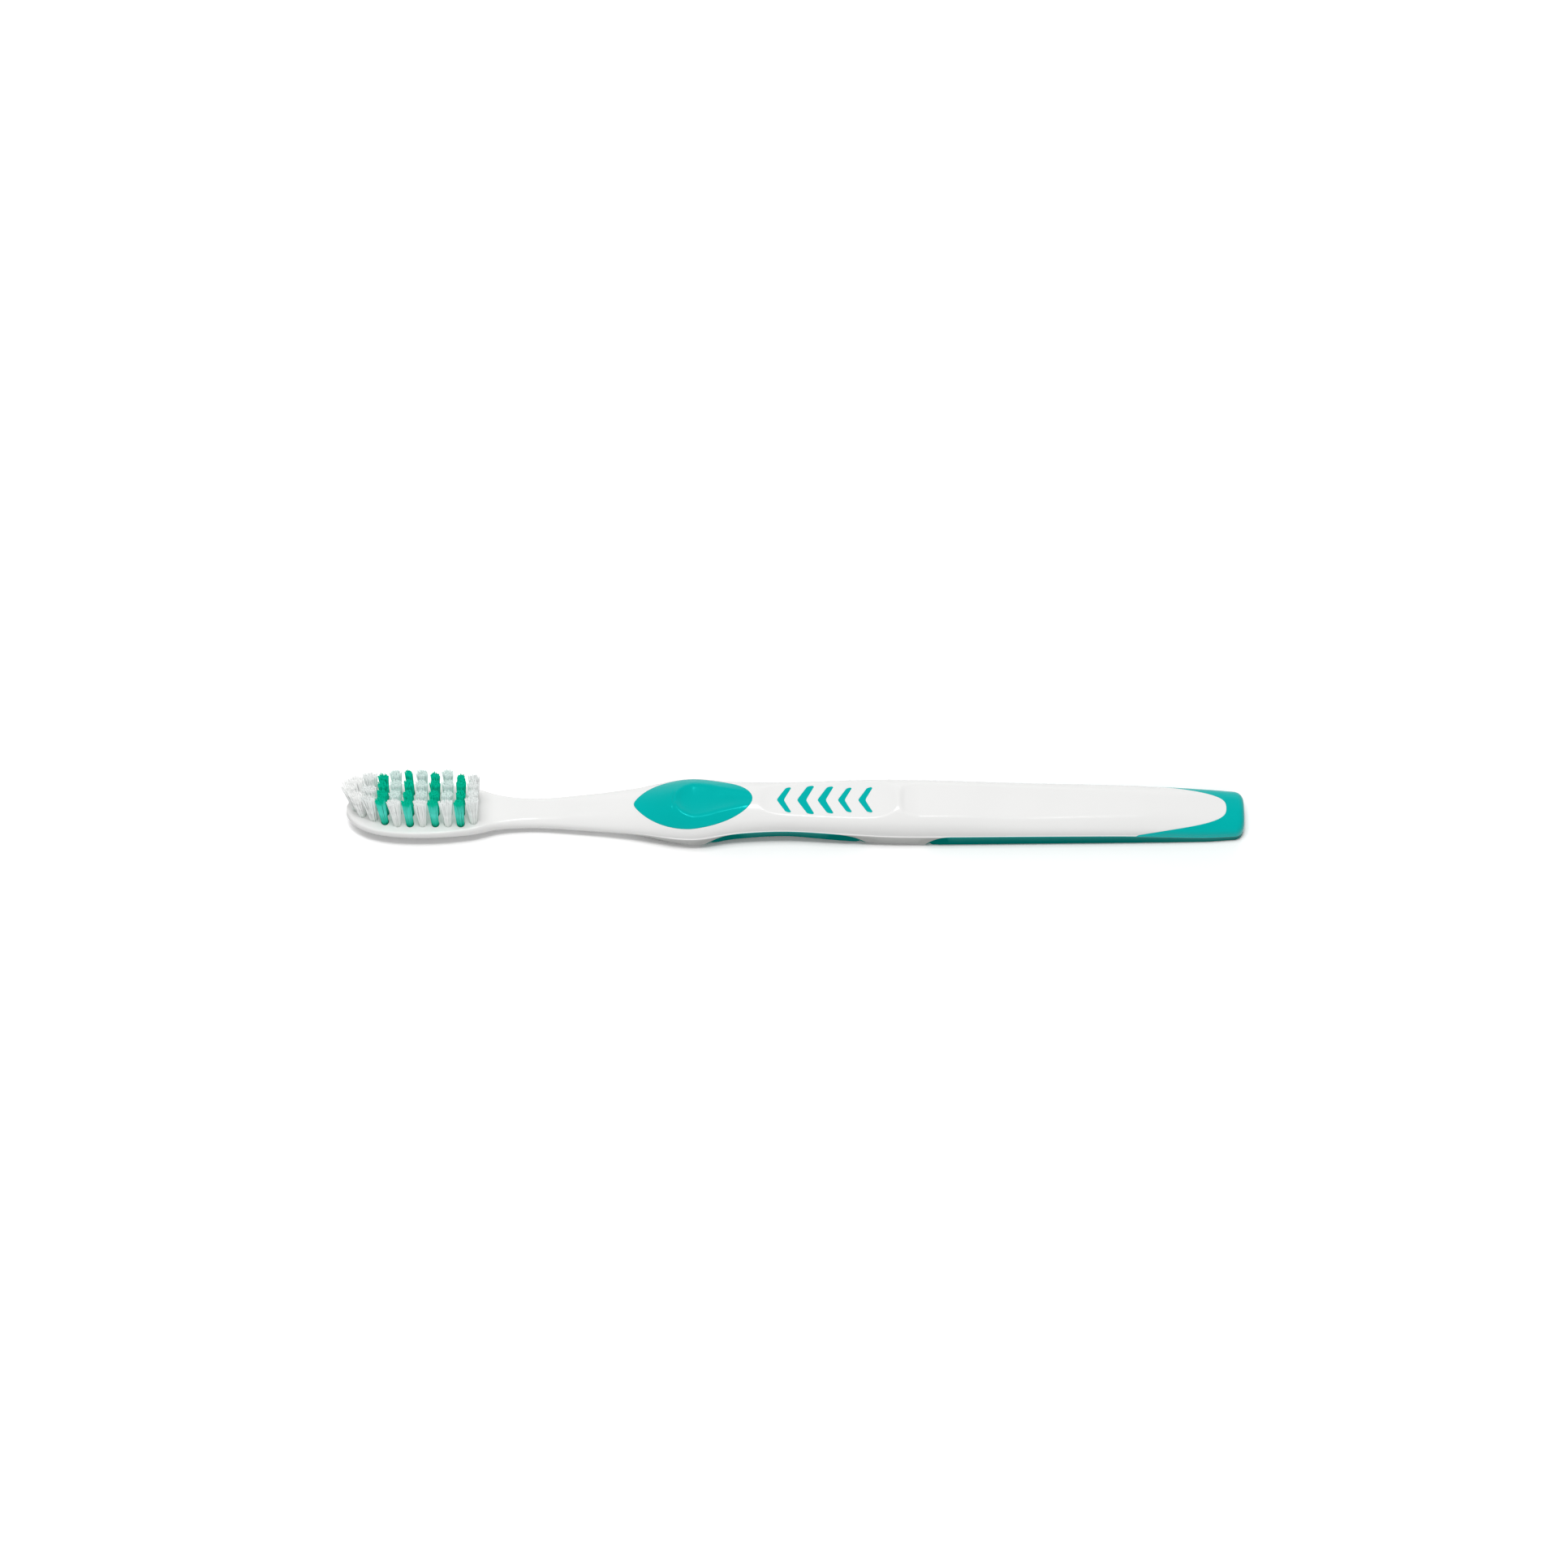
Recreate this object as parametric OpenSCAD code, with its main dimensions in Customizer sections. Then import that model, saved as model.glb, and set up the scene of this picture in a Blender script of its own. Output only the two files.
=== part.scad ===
// A manual toothbrush lying on its back with its bristles up.
// X runs along the brush with the head's tip at -X, Y is across it and Z is up from the table.
// One white moulding carries tufts held by flat anchors, with soft inlays and grips moulded on.

/* [Handle] */
// Length from the head's tip to the tail's end
overall_len = 190; // [172:1:215]
// Width of the neck at its narrowest
neck_w = 6.4; // [5.4:0.1:8]
// Height of the neck's upper side above the table
neck_top_z = 5.05; // [4.4:0.05:5.2]
// Width of the swell under the thumb
swell_w = 14.2; // [12.9:0.1:15.5]
// Height of the swell's crest above the table
swell_top_z = 10.5; // [9.6:0.1:11.4]
// Width of the waist behind the thumb
waist_w = 10.9; // [9.6:0.1:12.4]
// Height of the waist's crown above the table
waist_top_z = 10.3; // [9.8:0.1:11]
// Height of the waist's arched underside above the table
waist_lift = 1.7; // [0.8:0.1:2]
// Width of the belly that fills the palm
belly_w = 12.7; // [11.2:0.1:14]
// Height of the belly's crown above the table
belly_top_z = 10.3; // [9.6:0.1:11.4]
// Width near the tail's end
tail_w = 11.1; // [9.6:0.1:12]
// Height of the upper side near the tail's end
tail_top_z = 6.1; // [5.8:0.1:7]
// Radius of the tail's corners, seen from above
tail_corner_r = 2; // [1:0.1:3.2]
// Radius of the tail's upper and lower edges, seen from the side
tail_edge_r = 1.2; // [0.6:0.1:1.8]
// How far the table would cut into the rounded back, which leaves it a flat strip
flat_cut = 0.2; // [0.1:0.05:0.3]

/* [Head] */
// Length of the head from its tip to the neck
head_len = 33; // [32:0.5:36]
// Width of the head at its widest
head_w = 12.3; // [11.6:0.1:14]
// Height of the flat bristle face above the table
head_face_z = 5.3; // [5.2:0.1:6]
// Height of the head's underside above the table
head_lift = 0.5; // [0.3:0.1:0.9]
// How far the head's sides would go on rounding over above the flat face
head_crown = 2.1; // [1.6:0.1:2.4]

/* [Bristles] */
// Height of the trimmed bristles above the flat face
trim_h = 9.8; // [7:0.1:12]
// Diameter of the round hole that each tuft stands in
tuft_hole_d = 1.7; // [1.5:0.05:1.8]
// Depth of a tuft hole
tuft_hole_depth = 2.5; // [2:0.1:2.7]
// Distance from one column of tufts to the next along the head
column_pitch = 2.68; // [2.5:0.02:2.7]
// Distance from one tuft to the next across the head
row_pitch = 2.4; // [2:0.05:2.5]
// Distance from the head's tip to the centre of its first tuft
first_tuft_at = 2.1; // [1.9:0.05:2.4]
// Thickness of one strand
strand_w = 0.36; // [0.24:0.02:0.38]
// Distance between strands in a row where they leave the face
strand_root_pitch = 0.4; // [0.39:0.01:0.42]
// Distance between strands in a row at their trimmed tips, along the head
strand_tip_pitch = 0.66; // [0.4:0.02:0.7]
// How far the foremost tuft leans past its root towards the head's tip
tip_lean = 1.2; // [0:0.05:1.2]

/* [Anchors] */
// Thickness of the flat wire that pins each tuft
anchor_t = 0.3; // [0.2:0.05:0.4]
// Height of the anchor wire
anchor_h = 1.2; // [0.8:0.1:1.4]

/* [Soft front inlays] */
// Length of the thumb pad
pad_len = 25.1; // [22:0.1:26]
// Width of the thumb pad
pad_w = 11.7; // [10:0.1:11.8]
// Depth of the pad's floor below the swell's crest
pad_depth = 3.4; // [3:0.1:4]
// How far the pad stands proud of the white body
pad_proud = 0.12; // [0.05:0.01:0.3]
// Depth of the dished teardrop in the pad
dish_depth = 0.45; // [0.2:0.05:0.7]
// Width of the dished teardrop at its nose
dish_w = 7.4; // [6:0.1:8]
// Width of a chevron across the handle
chevron_span = 6; // [5:0.1:6.2]
// Thickness of a chevron along the handle at its point
chevron_t = 1.5; // [1.1:0.1:1.7]
// How far a chevron's arms sweep back from its point
chevron_sweep = 2.45; // [1.6:0.05:2.6]
// Distance from one chevron's point to the next
chevron_pitch = 4.29; // [4:0.01:4.4]
// Depth of the long bare flat behind the chevrons below the belly's crown
label_depth = 1; // [0.5:0.1:1.1]
// Depth of a chevron below the panel's face
chevron_depth = 1.2; // [0.8:0.1:1.6]
// Height of the shallow panel's face above the table
panel_z = 9.4; // [9:0.1:9.7]
// Length of the shallow panel that holds the chevrons
panel_len = 29.6; // [28:0.2:31]

/* [Soft back grips] */
// Length of the finger grip on the back of the waist
finger_grip_len = 41; // [36:0.5:42]
// How far the grips' seams run below the handle's widest line
seam_drop = 0.2; // [0.15:0.05:0.5]
// Length over which the palm grip's seam rises from its front end
palm_rise_len = 7; // [4:0.5:12]
// Length of the white tongue that ends in the tail cap
tongue_len = 18.6; // [16:0.2:22]
// Distance from the tongue's tip to the tail's end
tail_cap_len = 3.9; // [3.2:0.1:5]

/* [Fit] */
// Clearance between an inlay's sides and its recess
inlay_gap = 0.02; // [0.01:0.01:0.05]
// Clearance between a tuft's root and its hole, all round
root_gap = 0.02; // [0.01:0.01:0.05]

/* [Hidden] */
// How far a cut runs past the surface that it opens
overrun = 3;
// Corners of each cross-section and steps of each curve
ring_points = 36;
pad_steps = 22;
pad_lanes = 12;
chevron_steps = 8;
hole_sides = 24;
// Length behind the head
stem_len = overall_len - head_len;
// Where a station lies along the brush, from a share of the head's or of the stem's length
function on_head(share) = share * head_len;
function on_stem(share) = head_len + share * stem_len;
widest_at = on_head(0.49);
neck_at = on_stem(0.04);
swell_at = on_stem(0.258);
waist_at = on_stem(0.38);
belly_at = on_stem(0.54);
tail_at = on_stem(0.946);

// Half the width at each station
half_widths = [
    [0, head_w / 2],
    [widest_at, head_w / 2],
    [on_head(0.84), 0.37 * neck_w / 2 + 0.63 * head_w / 2],
    [on_head(0.95), 0.8 * neck_w / 2 + 0.2 * head_w / 2],
    [neck_at, neck_w / 2],
    [on_stem(0.108), 0.81 * neck_w / 2 + 0.19 * swell_w / 2],
    [on_stem(0.172), 0.53 * neck_w / 2 + 0.47 * swell_w / 2],
    [swell_at, swell_w / 2],
    [on_stem(0.312), 0.25 * swell_w / 2 + 0.75 * waist_w / 2],
    [waist_at, waist_w / 2],
    [on_stem(0.452), 0.5 * waist_w / 2 + 0.5 * belly_w / 2],
    [belly_at, belly_w / 2],
    [on_stem(0.713), 0.7 * belly_w / 2 + 0.3 * tail_w / 2],
    [tail_at, tail_w / 2],
    [overall_len, tail_w / 2 - tail_edge_r / 2]
];

// Height of the underside at each station
underside_heights = [
    [0, 0.6 * head_face_z],
    [on_head(0.06), 0.28 * head_face_z],
    [on_head(0.2), head_lift + 0.05 * head_face_z],
    [widest_at, head_lift],
    [neck_at, 0.9 * head_lift],
    [on_stem(0.172), 0.2 * head_lift],
    [swell_at, -flat_cut],
    [on_stem(0.312), 0.5 * waist_lift],
    [waist_at, waist_lift],
    [on_stem(0.452), 0.5 * waist_lift],
    [belly_at, 0.2 * waist_lift],
    [on_stem(0.6), -flat_cut],
    [overall_len, -flat_cut]
];

// Height of the upper side at each station, before the flat face and the panel are cut
upper_heights = [
    [0, head_face_z],
    [on_head(0.2), head_face_z + 0.8 * head_crown],
    [widest_at, head_face_z + head_crown],
    [on_head(0.82), head_face_z + 0.9 * head_crown],
    [on_head(0.95), head_face_z + 0.35 * head_crown],
    [neck_at, neck_top_z],
    [on_stem(0.108), 0.88 * neck_top_z + 0.12 * swell_top_z],
    [on_stem(0.172), 0.62 * neck_top_z + 0.38 * swell_top_z],
    [swell_at, swell_top_z],
    [on_stem(0.312), 0.5 * swell_top_z + 0.5 * waist_top_z],
    [waist_at, waist_top_z],
    [on_stem(0.5), 1.034 * belly_top_z],
    [on_stem(0.6), belly_top_z],
    [on_stem(0.713), 0.65 * belly_top_z + 0.35 * tail_top_z],
    [on_stem(0.857), 0.4 * belly_top_z + 0.6 * tail_top_z],
    [tail_at, tail_top_z],
    [overall_len, tail_top_z - 0.6 * tail_edge_r]
];

// Roundness of the upper side: 2 is an ellipse, and more is squarer
upper_powers = [
    [0, 2.4],
    [neck_at, 2.4],
    [on_stem(0.172), 2],
    [swell_at, 1.8],
    [waist_at, 2.4],
    [on_stem(0.5), 2.5],
    [on_stem(0.56), 2.3],
    [on_stem(0.66), 2.15],
    [on_stem(0.83), 2.1],
    [tail_at, 2.3],
    [overall_len, 2.3]
];

// Roundness of the under side
under_powers = [
    [0, 2.4],
    [on_stem(0.172), 2.4],
    [swell_at, 5],
    [waist_at, 6],
    [belly_at, 8],
    [tail_at, 8],
    [overall_len, 6]
];

// Height of the widest line at each station
rim_heights = [
    [0, 0.774 * head_face_z],
    [widest_at, 0.745 * head_face_z],
    [on_head(0.95), 0.65 * neck_top_z],
    [neck_at, 0.545 * neck_top_z],
    [on_stem(0.108), 0.61 * neck_top_z],
    [on_stem(0.172), 0.352 * swell_top_z],
    [swell_at, 0.433 * swell_top_z],
    [waist_at, 0.515 * waist_top_z],
    [on_stem(0.43), 0.49 * waist_top_z],
    [belly_at, 0.417 * belly_top_z],
    [on_stem(0.7), 0.403 * belly_top_z],
    [on_stem(0.83), 0.374 * belly_top_z],
    [tail_at, 0.426 * tail_top_z],
    [overall_len, 0.36 * tail_top_z]
];

// Slope between two stations, and the slope at a station that keeps the curve from overshooting
function chord(t, i) = (t[i + 1][1] - t[i][1]) / (t[i + 1][0] - t[i][0]);
function knot_slope(t, i) =
    i == 0 ? chord(t, 0)
    : i == len(t) - 1 ? chord(t, i - 1)
    : let (before = chord(t, i - 1), after = chord(t, i))
        before * after <= 0 ? 0 : 2 * before * after / (before + after);
function span_at(t, s, i = 0) = i >= len(t) - 2 || s < t[i + 1][0] ? i : span_at(t, s, i + 1);

// Smooth curve through a table of stations
function smooth(t, s) =
    let (
        i = span_at(t, s),
        step = t[i + 1][0] - t[i][0],
        u = (s - t[i][0]) / step
    )
    (1 + 2 * u) * pow(1 - u, 2) * t[i][1]
    + u * pow(1 - u, 2) * step * knot_slope(t, i)
    + u * u * (3 - 2 * u) * t[i + 1][1]
    + u * u * (u - 1) * step * knot_slope(t, i + 1);

// Loss of width or height where the tail's corner or edge rounds off
function rounding(s, r) =
    let (past = s - overall_len + r)
    past <= 0 ? 0 : r - sqrt(max(0, r * r - past * past));

// Rounded plan of the head's tip, as a share of the head's half width
tip_blunt_share = 0.01;
tip_plan_power = 2.6;
tip_round_power = 0.476;
function tip_share(s) =
    s >= widest_at ? 1
    : pow(1 - pow((1 - s / widest_at) * (1 - tip_blunt_share), tip_plan_power), tip_round_power);

function half_width(s) = smooth(half_widths, s) * tip_share(s) - rounding(s, tail_corner_r);
function under_z(s) = smooth(underside_heights, s) + rounding(s, tail_edge_r);
function upper_z(s) = smooth(upper_heights, s) - rounding(s, tail_edge_r);
function upper_power(s) = smooth(upper_powers, s);
function under_power(s) = smooth(under_powers, s);

// Height of the widest line, kept clear of the underside and of the upper side
rim_clearance = 0.3;
function waterline_z(s) =
    min(max(smooth(rim_heights, s), under_z(s) + rim_clearance), upper_z(s) - rim_clearance);

// The flat bristle face, which runs out along the neck, as shares of its height
neck_flat_shares = [
    [0, 1],
    [on_head(0.86), 1],
    [on_head(0.98), 0.928],
    [neck_at, 0.89],
    [on_stem(0.07), 0.934],
    [on_stem(0.12), 1.245],
    [overall_len, 6]
];

// Depth of the long bare flat at each station, as shares: below zero it misses the crown
label_shares = [
    [0, -2],
    [on_stem(0.526), -0.5],
    [on_stem(0.5425), 0.6],
    [on_stem(0.563), 1],
    [on_stem(0.66), 0.95],
    [on_stem(0.76), 0.6],
    [on_stem(0.86), 0.25],
    [on_stem(0.94), -0.3],
    [overall_len, -1]
];

// The shallow panel's face, which rises steeply to its ends
panel_mid = waist_at + 0.3 * panel_len;
panel_rim_rise = 0.13 * panel_z;
panel_rim_power = 6;
function panel_face_z(s) =
    panel_z + panel_rim_rise * pow((s - panel_mid) / (panel_len / 2), panel_rim_power);

// Height at which the flats cut the upper side
function face_z(s) =
    min(
        head_face_z * smooth(neck_flat_shares, s),
        panel_face_z(s),
        upper_z(s) - label_depth * smooth(label_shares, s)
    );

// Height of the white surface at a distance y from the middle
function surface_z(s, y) =
    let (
        share = min(1, abs(y) / half_width(s)),
        power = upper_power(s),
        mid = waterline_z(s),
        z = mid + (upper_z(s) - mid) * pow(1 - pow(share, power), 1 / power)
    )
    min(z, face_z(s));

// One closed cross-section, anticlockwise from the near side's widest point
function along(s) = s - overall_len / 2;
function ring(s) =
    let (
        w = half_width(s),
        low = under_z(s),
        mid = waterline_z(s),
        high = upper_z(s) - mid,
        over = upper_power(s),
        under = under_power(s)
    )
    [
        for (k = [0:ring_points - 1])
            let (
                c = cos(360 * k / ring_points),
                n = sin(360 * k / ring_points),
                p = n >= 0 ? over : under,
                y = w * sign(c) * pow(abs(c), 2 / p),
                z = mid + (n >= 0 ? high : mid - low) * sign(n) * pow(abs(n), 2 / p)
            )
            [along(s), y, max(0, min(z, face_z(s)))]
    ];

// Stations of the cross-sections: close together at the tip and the tail's corner
tip_rings = 8;
stem_rings = 40;
corner_rings = 4;
corner_start = overall_len - tail_corner_r;
stations = [
    for (k = [0:tip_rings - 1]) widest_at * (1 - cos(90 * k / tip_rings)),
    for (k = [0:stem_rings - 1]) widest_at + (corner_start - widest_at) * k / stem_rings,
    for (k = [0:corner_rings]) corner_start + tail_corner_r * sin(90 * k / corner_rings)
];

// Closed skin through a list of rings with the same number of corners
module skin(rings) {
    n = len(rings[0]);
    last = len(rings) - 1;
    points = [for (r = rings) each r];
    sides = [
        for (i = [0:last - 1], k = [0:n - 1])
            let (a = i * n + k, b = i * n + (k + 1) % n)
            each [[a, a + n, b], [a + n, b + n, b]]
    ];
    start_cap = [for (k = [1:n - 2]) [0, k, k + 1]];
    end_cap = [for (k = [1:n - 2]) [last * n, last * n + k + 1, last * n + k]];
    polyhedron(points = points, faces = concat(sides, start_cap, end_cap), convexity = 8);
}

// The outer body between two places, with one ring past each
module body_form(from_s = 0, to_s = overall_len) {
    inside = [
        for (i = [0:len(stations) - 1])
            if (stations[min(i + 1, len(stations) - 1)] > from_s && stations[max(i - 1, 0)] < to_s) i
    ];
    skin([for (i = inside) ring(stations[i])]);
}

// Thumb pad: an uneven lens, given by its place between its tips
pad_start = swell_at - 0.507 * pad_len;
pad_peak_share = 0.48;
pad_front_taper_share = 0.72;
pad_rear_taper_share = 0.57;
pad_front_power = 2;
pad_rear_power = 1.6;
pad_end_share = 0.006;
lens_blunt_power = 8;
function lens_side(t, taper, power) = (1 - taper * pow(t, power)) * sqrt(1 - pow(t, lens_blunt_power));
function lens_share(u) =
    u < pad_peak_share
        ? lens_side((pad_peak_share - u) / pad_peak_share, pad_front_taper_share, pad_front_power)
        : lens_side((u - pad_peak_share) / (1 - pad_peak_share), pad_rear_taper_share, pad_rear_power);
function pad_share(k) =
    let (u = (1 - cos(180 * k / pad_steps)) / 2)
    pad_end_share + (1 - 2 * pad_end_share) * u;
function pad_half(u) = pad_w / 2 * lens_share(u);

// The pad's floor follows the crest from tip to tip, and is shallower at the tips
pad_shallow_share = 0.45;
function pad_floor_z(s) =
    surface_z(s, 0)
    - pad_depth * (pad_shallow_share + (1 - pad_shallow_share) * sin(180 * (s - pad_start) / pad_len));

// Depth of the teardrop: full at its nose, running out to a point at the pad's rear
dish_nose_share = 0.36;
dish_tail_share = 0.97;
dish_nose_power = 0.35;
dish_tail_power = 0.8;
dish_full_share = 1.75;
function dish_half(u) =
    let (v = (u - dish_nose_share) / (dish_tail_share - dish_nose_share))
    v <= 0 || v >= 1 ? 0
    : dish_full_share * dish_w / 2 * pow(v, dish_nose_power) * pow(1 - v, dish_tail_power);
function dish(u, y) =
    let (half = dish_half(u))
    half <= 0 || abs(y) >= half ? 0 : dish_depth * sqrt(1 - pow(y / half, 2)) * half / (dish_w / 2);

function pad_ring(k) =
    let (
        u = pad_share(k),
        s = pad_start + pad_len * u,
        half = pad_half(u) - inlay_gap
    )
    concat(
        [
            for (j = [0:pad_lanes])
                let (y = half * cos(180 * j / pad_lanes))
                [along(s), y, surface_z(s, y) + pad_proud - dish(u, y)]
        ],
        [
            for (side = [-1, 1])
                [along(s), side * half, pad_floor_z(s)]
        ]
    );

module thumb_pad() {
    color("darkturquoise")
        skin([for (k = [0:pad_steps]) pad_ring(k)]);
}

module pad_recess() {
    sides = [
        for (k = [0:pad_steps])
            let (u = pad_share(k))
            [along(pad_start + pad_len * u), pad_half(u)]
    ];
    floor_line = [
        for (k = [0:pad_steps])
            let (s = pad_start + pad_len * pad_share(k))
            [along(s), pad_floor_z(s)]
    ];
    top = swell_top_z + overrun;
    intersection() {
        linear_extrude(height = top)
            polygon(concat(sides, [for (k = [pad_steps:-1:0]) [sides[k][0], -sides[k][1]]]));
        rotate([90, 0, 0])
            linear_extrude(height = swell_w, center = true)
                polygon(concat(floor_line, [[floor_line[pad_steps][0], top], [floor_line[0][0], top]]));
    }
}

// Chevrons: five points towards the head, the second one the boldest
chevron_weight_shares = [0.95, 1.2, 1.1, 0.92, 0.96];
chevron_arm_share = 0.72;
chevron_first_at = waist_at - 0.054 * panel_len;
chevron_floor_z = panel_z - chevron_depth;
function chevron_front(i, y) =
    chevron_first_at + i * chevron_pitch + chevron_sweep * abs(y) / (chevron_span / 2);
function chevron_back(i, y) =
    let (v = abs(y) / (chevron_span / 2))
    chevron_front(i, y) + chevron_t * chevron_weight_shares[i] * (1 + (chevron_arm_share - 1) * v);
function chevron_half(i) = chevron_span / 2 * (0.5 + 0.5 * chevron_weight_shares[i]);

function chevron_ring(i, k) =
    let (
        y = (chevron_half(i) - inlay_gap) * (2 * k / chevron_steps - 1),
        front = chevron_front(i, y) + inlay_gap,
        back = chevron_back(i, y) - inlay_gap
    )
    [
        [along(front), y, chevron_floor_z],
        [along(front), y, surface_z(front, y)],
        [along(back), y, surface_z(back, y)],
        [along(back), y, chevron_floor_z]
    ];

module chevron(i) {
    color("turquoise")
        skin([for (k = [0:chevron_steps]) chevron_ring(i, k)]);
}

module chevron_recess(i) {
    half = chevron_half(i);
    ys = [-half, 0, half];
    translate([0, 0, chevron_floor_z])
        linear_extrude(height = chevron_depth + overrun)
            polygon(concat(
                [for (y = ys) [along(chevron_front(i, y)), y]],
                [for (k = [2:-1:0]) [along(chevron_back(i, ys[k])), ys[k]]]
            ));
}

// Height of the seam between the white moulding and a grip, away from the grip's ends
function seam_z(s) = waterline_z(s) - seam_drop;

// Finger grip: the back of the waist below an arched seam
finger_grip_steps = 16;
finger_end_power = 6;
finger_grip_start = waist_at - finger_grip_len / 2;
finger_grip_end = waist_at + finger_grip_len / 2;
module finger_zone() {
    arch = [
        for (k = [0:finger_grip_steps])
            let (
                u = sin(90 * (2 * k / finger_grip_steps - 1)),
                s = waist_at + u * finger_grip_len / 2
            )
            [along(s), seam_z(s) * (1 - pow(abs(u), finger_end_power))]
    ];
    rotate([90, 0, 0])
        linear_extrude(height = 2 * swell_w, center = true)
            polygon(concat(
                arch,
                [[along(finger_grip_end), -overrun], [along(finger_grip_start), -overrun]]
            ));
}

module finger_grip() {
    color("teal")
        intersection() {
            body_form(finger_grip_start, finger_grip_end);
            finger_zone();
        }
}

// Palm grip: the back of the tail half below a rising seam, and all round the white tongue
palm_start = on_stem(0.56);
tongue_end = overall_len - tail_cap_len;
tongue_start = tongue_end - tongue_len;
tongue_start_share = 1.02;
tongue_half = tongue_start_share * half_width(tongue_start);
tongue_steps = 18;
tongue_side_power = 0.34;
palm_seam_steps = 20;
palm_seam_end_share = 0.2;
palm_seam_crowding = 2;
function palm_seam(s) =
    let (v = min(1, (s - palm_start) / palm_rise_len))
    seam_z(s) * sqrt(1 - pow(1 - v, 2));

module palm_under_zone() {
    seam_end = tongue_start + palm_seam_end_share * tongue_len;
    seam = [
        for (k = [0:palm_seam_steps])
            let (s = palm_start + pow(k / palm_seam_steps, palm_seam_crowding) * (seam_end - palm_start))
            [along(s), palm_seam(s)]
    ];
    rotate([90, 0, 0])
        linear_extrude(height = 2 * swell_w, center = true)
            polygon(concat(
                seam,
                [[along(overall_len + overrun), palm_seam(seam_end)]],
                [[along(overall_len + overrun), -overrun], [along(palm_start), -overrun]]
            ));
}

module tongue_outline() {
    side = [
        for (k = [0:tongue_steps])
            let (
                u = sin(90 * k / tongue_steps),
                half = tongue_half * pow(1 - u, tongue_side_power)
            )
            [along(tongue_start + tongue_len * u), half]
    ];
    polygon(concat(
        [[along(belly_at), tongue_half]],
        side,
        [for (k = [tongue_steps - 1:-1:0]) [side[k][0], -side[k][1]]],
        [[along(belly_at), -tongue_half]]
    ));
}

module palm_zone() {
    palm_under_zone();
    difference() {
        translate([along(tongue_start), -swell_w, 0])
            cube([overall_len - tongue_start + overrun, 2 * swell_w, belly_top_z + overrun]);
        translate([0, 0, -overrun])
            linear_extrude(height = belly_top_z + 3 * overrun)
                tongue_outline();
    }
}

module palm_grip() {
    color("darkcyan")
        intersection() {
            body_form(palm_start, overall_len);
            palm_zone();
        }
}

// Tufts: how many stand across each column, counted from the head's tip
column_counts = [1, 2, 3, 4, 4, 4, 4, 4, 4, 4, 4];
row_spread_shares = [1, 1.12, 0.95, 0.86, 1, 1, 1, 1, 1, 1, 0.84];
column_back_shares = [0, 0.49, 1.38, 2.28, 3.26, 4.26, 5.26, 6.26, 7.26, 8.26, 9.26];
green_columns = [3, 5, 7, 9];
function column_at(c) = first_tuft_at + column_pitch * column_back_shares[c];
tufts = [
    for (c = [0:len(column_counts) - 1], r = [0:column_counts[c] - 1])
        let (spread = row_pitch * row_spread_shares[c])
        [column_at(c), spread * (r - (column_counts[c] - 1) / 2), c, r]
];
function is_green(t) = len(search(t[2], green_columns)) > 0;
function tuft_name(t) = str(is_green(t) ? "green" : "white", "_tuft_", t[2] + 1, ["a", "b", "c", "d"][t[3]]);

// A tuft leans a little: forwards at the head's tip, backwards from the middle columns on
lean_back_share = 0.35;
lean_side_share = 0.06;
lean_columns = 4;
function lean_x(t) = tip_lean * (-1 + (1 + lean_back_share) * min(1, t[2] / lean_columns));
function lean_y(t) = lean_side_share * t[1];

// Bristles in a tuft stand three by three
strands_across = 3;
root_d = tuft_hole_d - 2 * root_gap;
root_sides = 8;
strand_bite = 0.5 * strand_w;
strand_fan_share = 0.5;
strand_tip_across = strand_root_pitch + strand_fan_share * (strand_tip_pitch - strand_root_pitch);
function strand_corners(x, y, z) = [
    for (corner = [[1, 1], [-1, 1], [-1, -1], [1, -1]])
        [x + corner[0] * strand_w / 2, y + corner[1] * strand_w / 2, z]
];
module strand(i, j, t) {
    low = strand_corners(i * strand_root_pitch, j * strand_root_pitch, -strand_bite);
    high = strand_corners(i * strand_tip_pitch + lean_x(t), j * strand_tip_across + lean_y(t), trim_h);
    polyhedron(
        points = concat(low, high),
        faces = [
            [0, 1, 2], [0, 2, 3],
            [4, 6, 5], [4, 7, 6],
            [0, 4, 1], [1, 4, 5],
            [1, 5, 2], [2, 5, 6],
            [2, 6, 3], [3, 6, 7],
            [3, 7, 0], [0, 7, 4]
        ],
        convexity = 2
    );
}

module anchor(clearance = 0) {
    translate([0, 0, anchor_h / 2])
        cube([anchor_t + 2 * clearance, anchor_w + 2 * clearance, anchor_h + 2 * clearance], center = true);
}

// Width of an anchor: its corners just reach the wall of the hole
anchor_w = sqrt(tuft_hole_d * tuft_hole_d - anchor_t * anchor_t);
// Height of an anchor above the hole's floor, where the tuft folds under it
anchor_seat_share = 0.16;
anchor_z = anchor_seat_share * tuft_hole_depth;

// The folded root of a tuft, with the slot that its anchor passes through
module tuft(t) {
    color(is_green(t) ? "mediumseagreen" : "whitesmoke")
        translate([along(t[0]), t[1], head_face_z])
            union() {
                difference() {
                    translate([0, 0, -tuft_hole_depth])
                        cylinder(h = tuft_hole_depth, d = root_d, $fn = root_sides);
                    translate([0, 0, anchor_z - tuft_hole_depth])
                        anchor(root_gap);
                }
                for (i = [-1:strands_across - 2], j = [-1:strands_across - 2])
                    strand(i, j, t);
            }
}

module tuft_anchors() {
    color("goldenrod")
        for (t = tufts)
            translate([along(t[0]), t[1], head_face_z - tuft_hole_depth + anchor_z])
                anchor();
}

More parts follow.
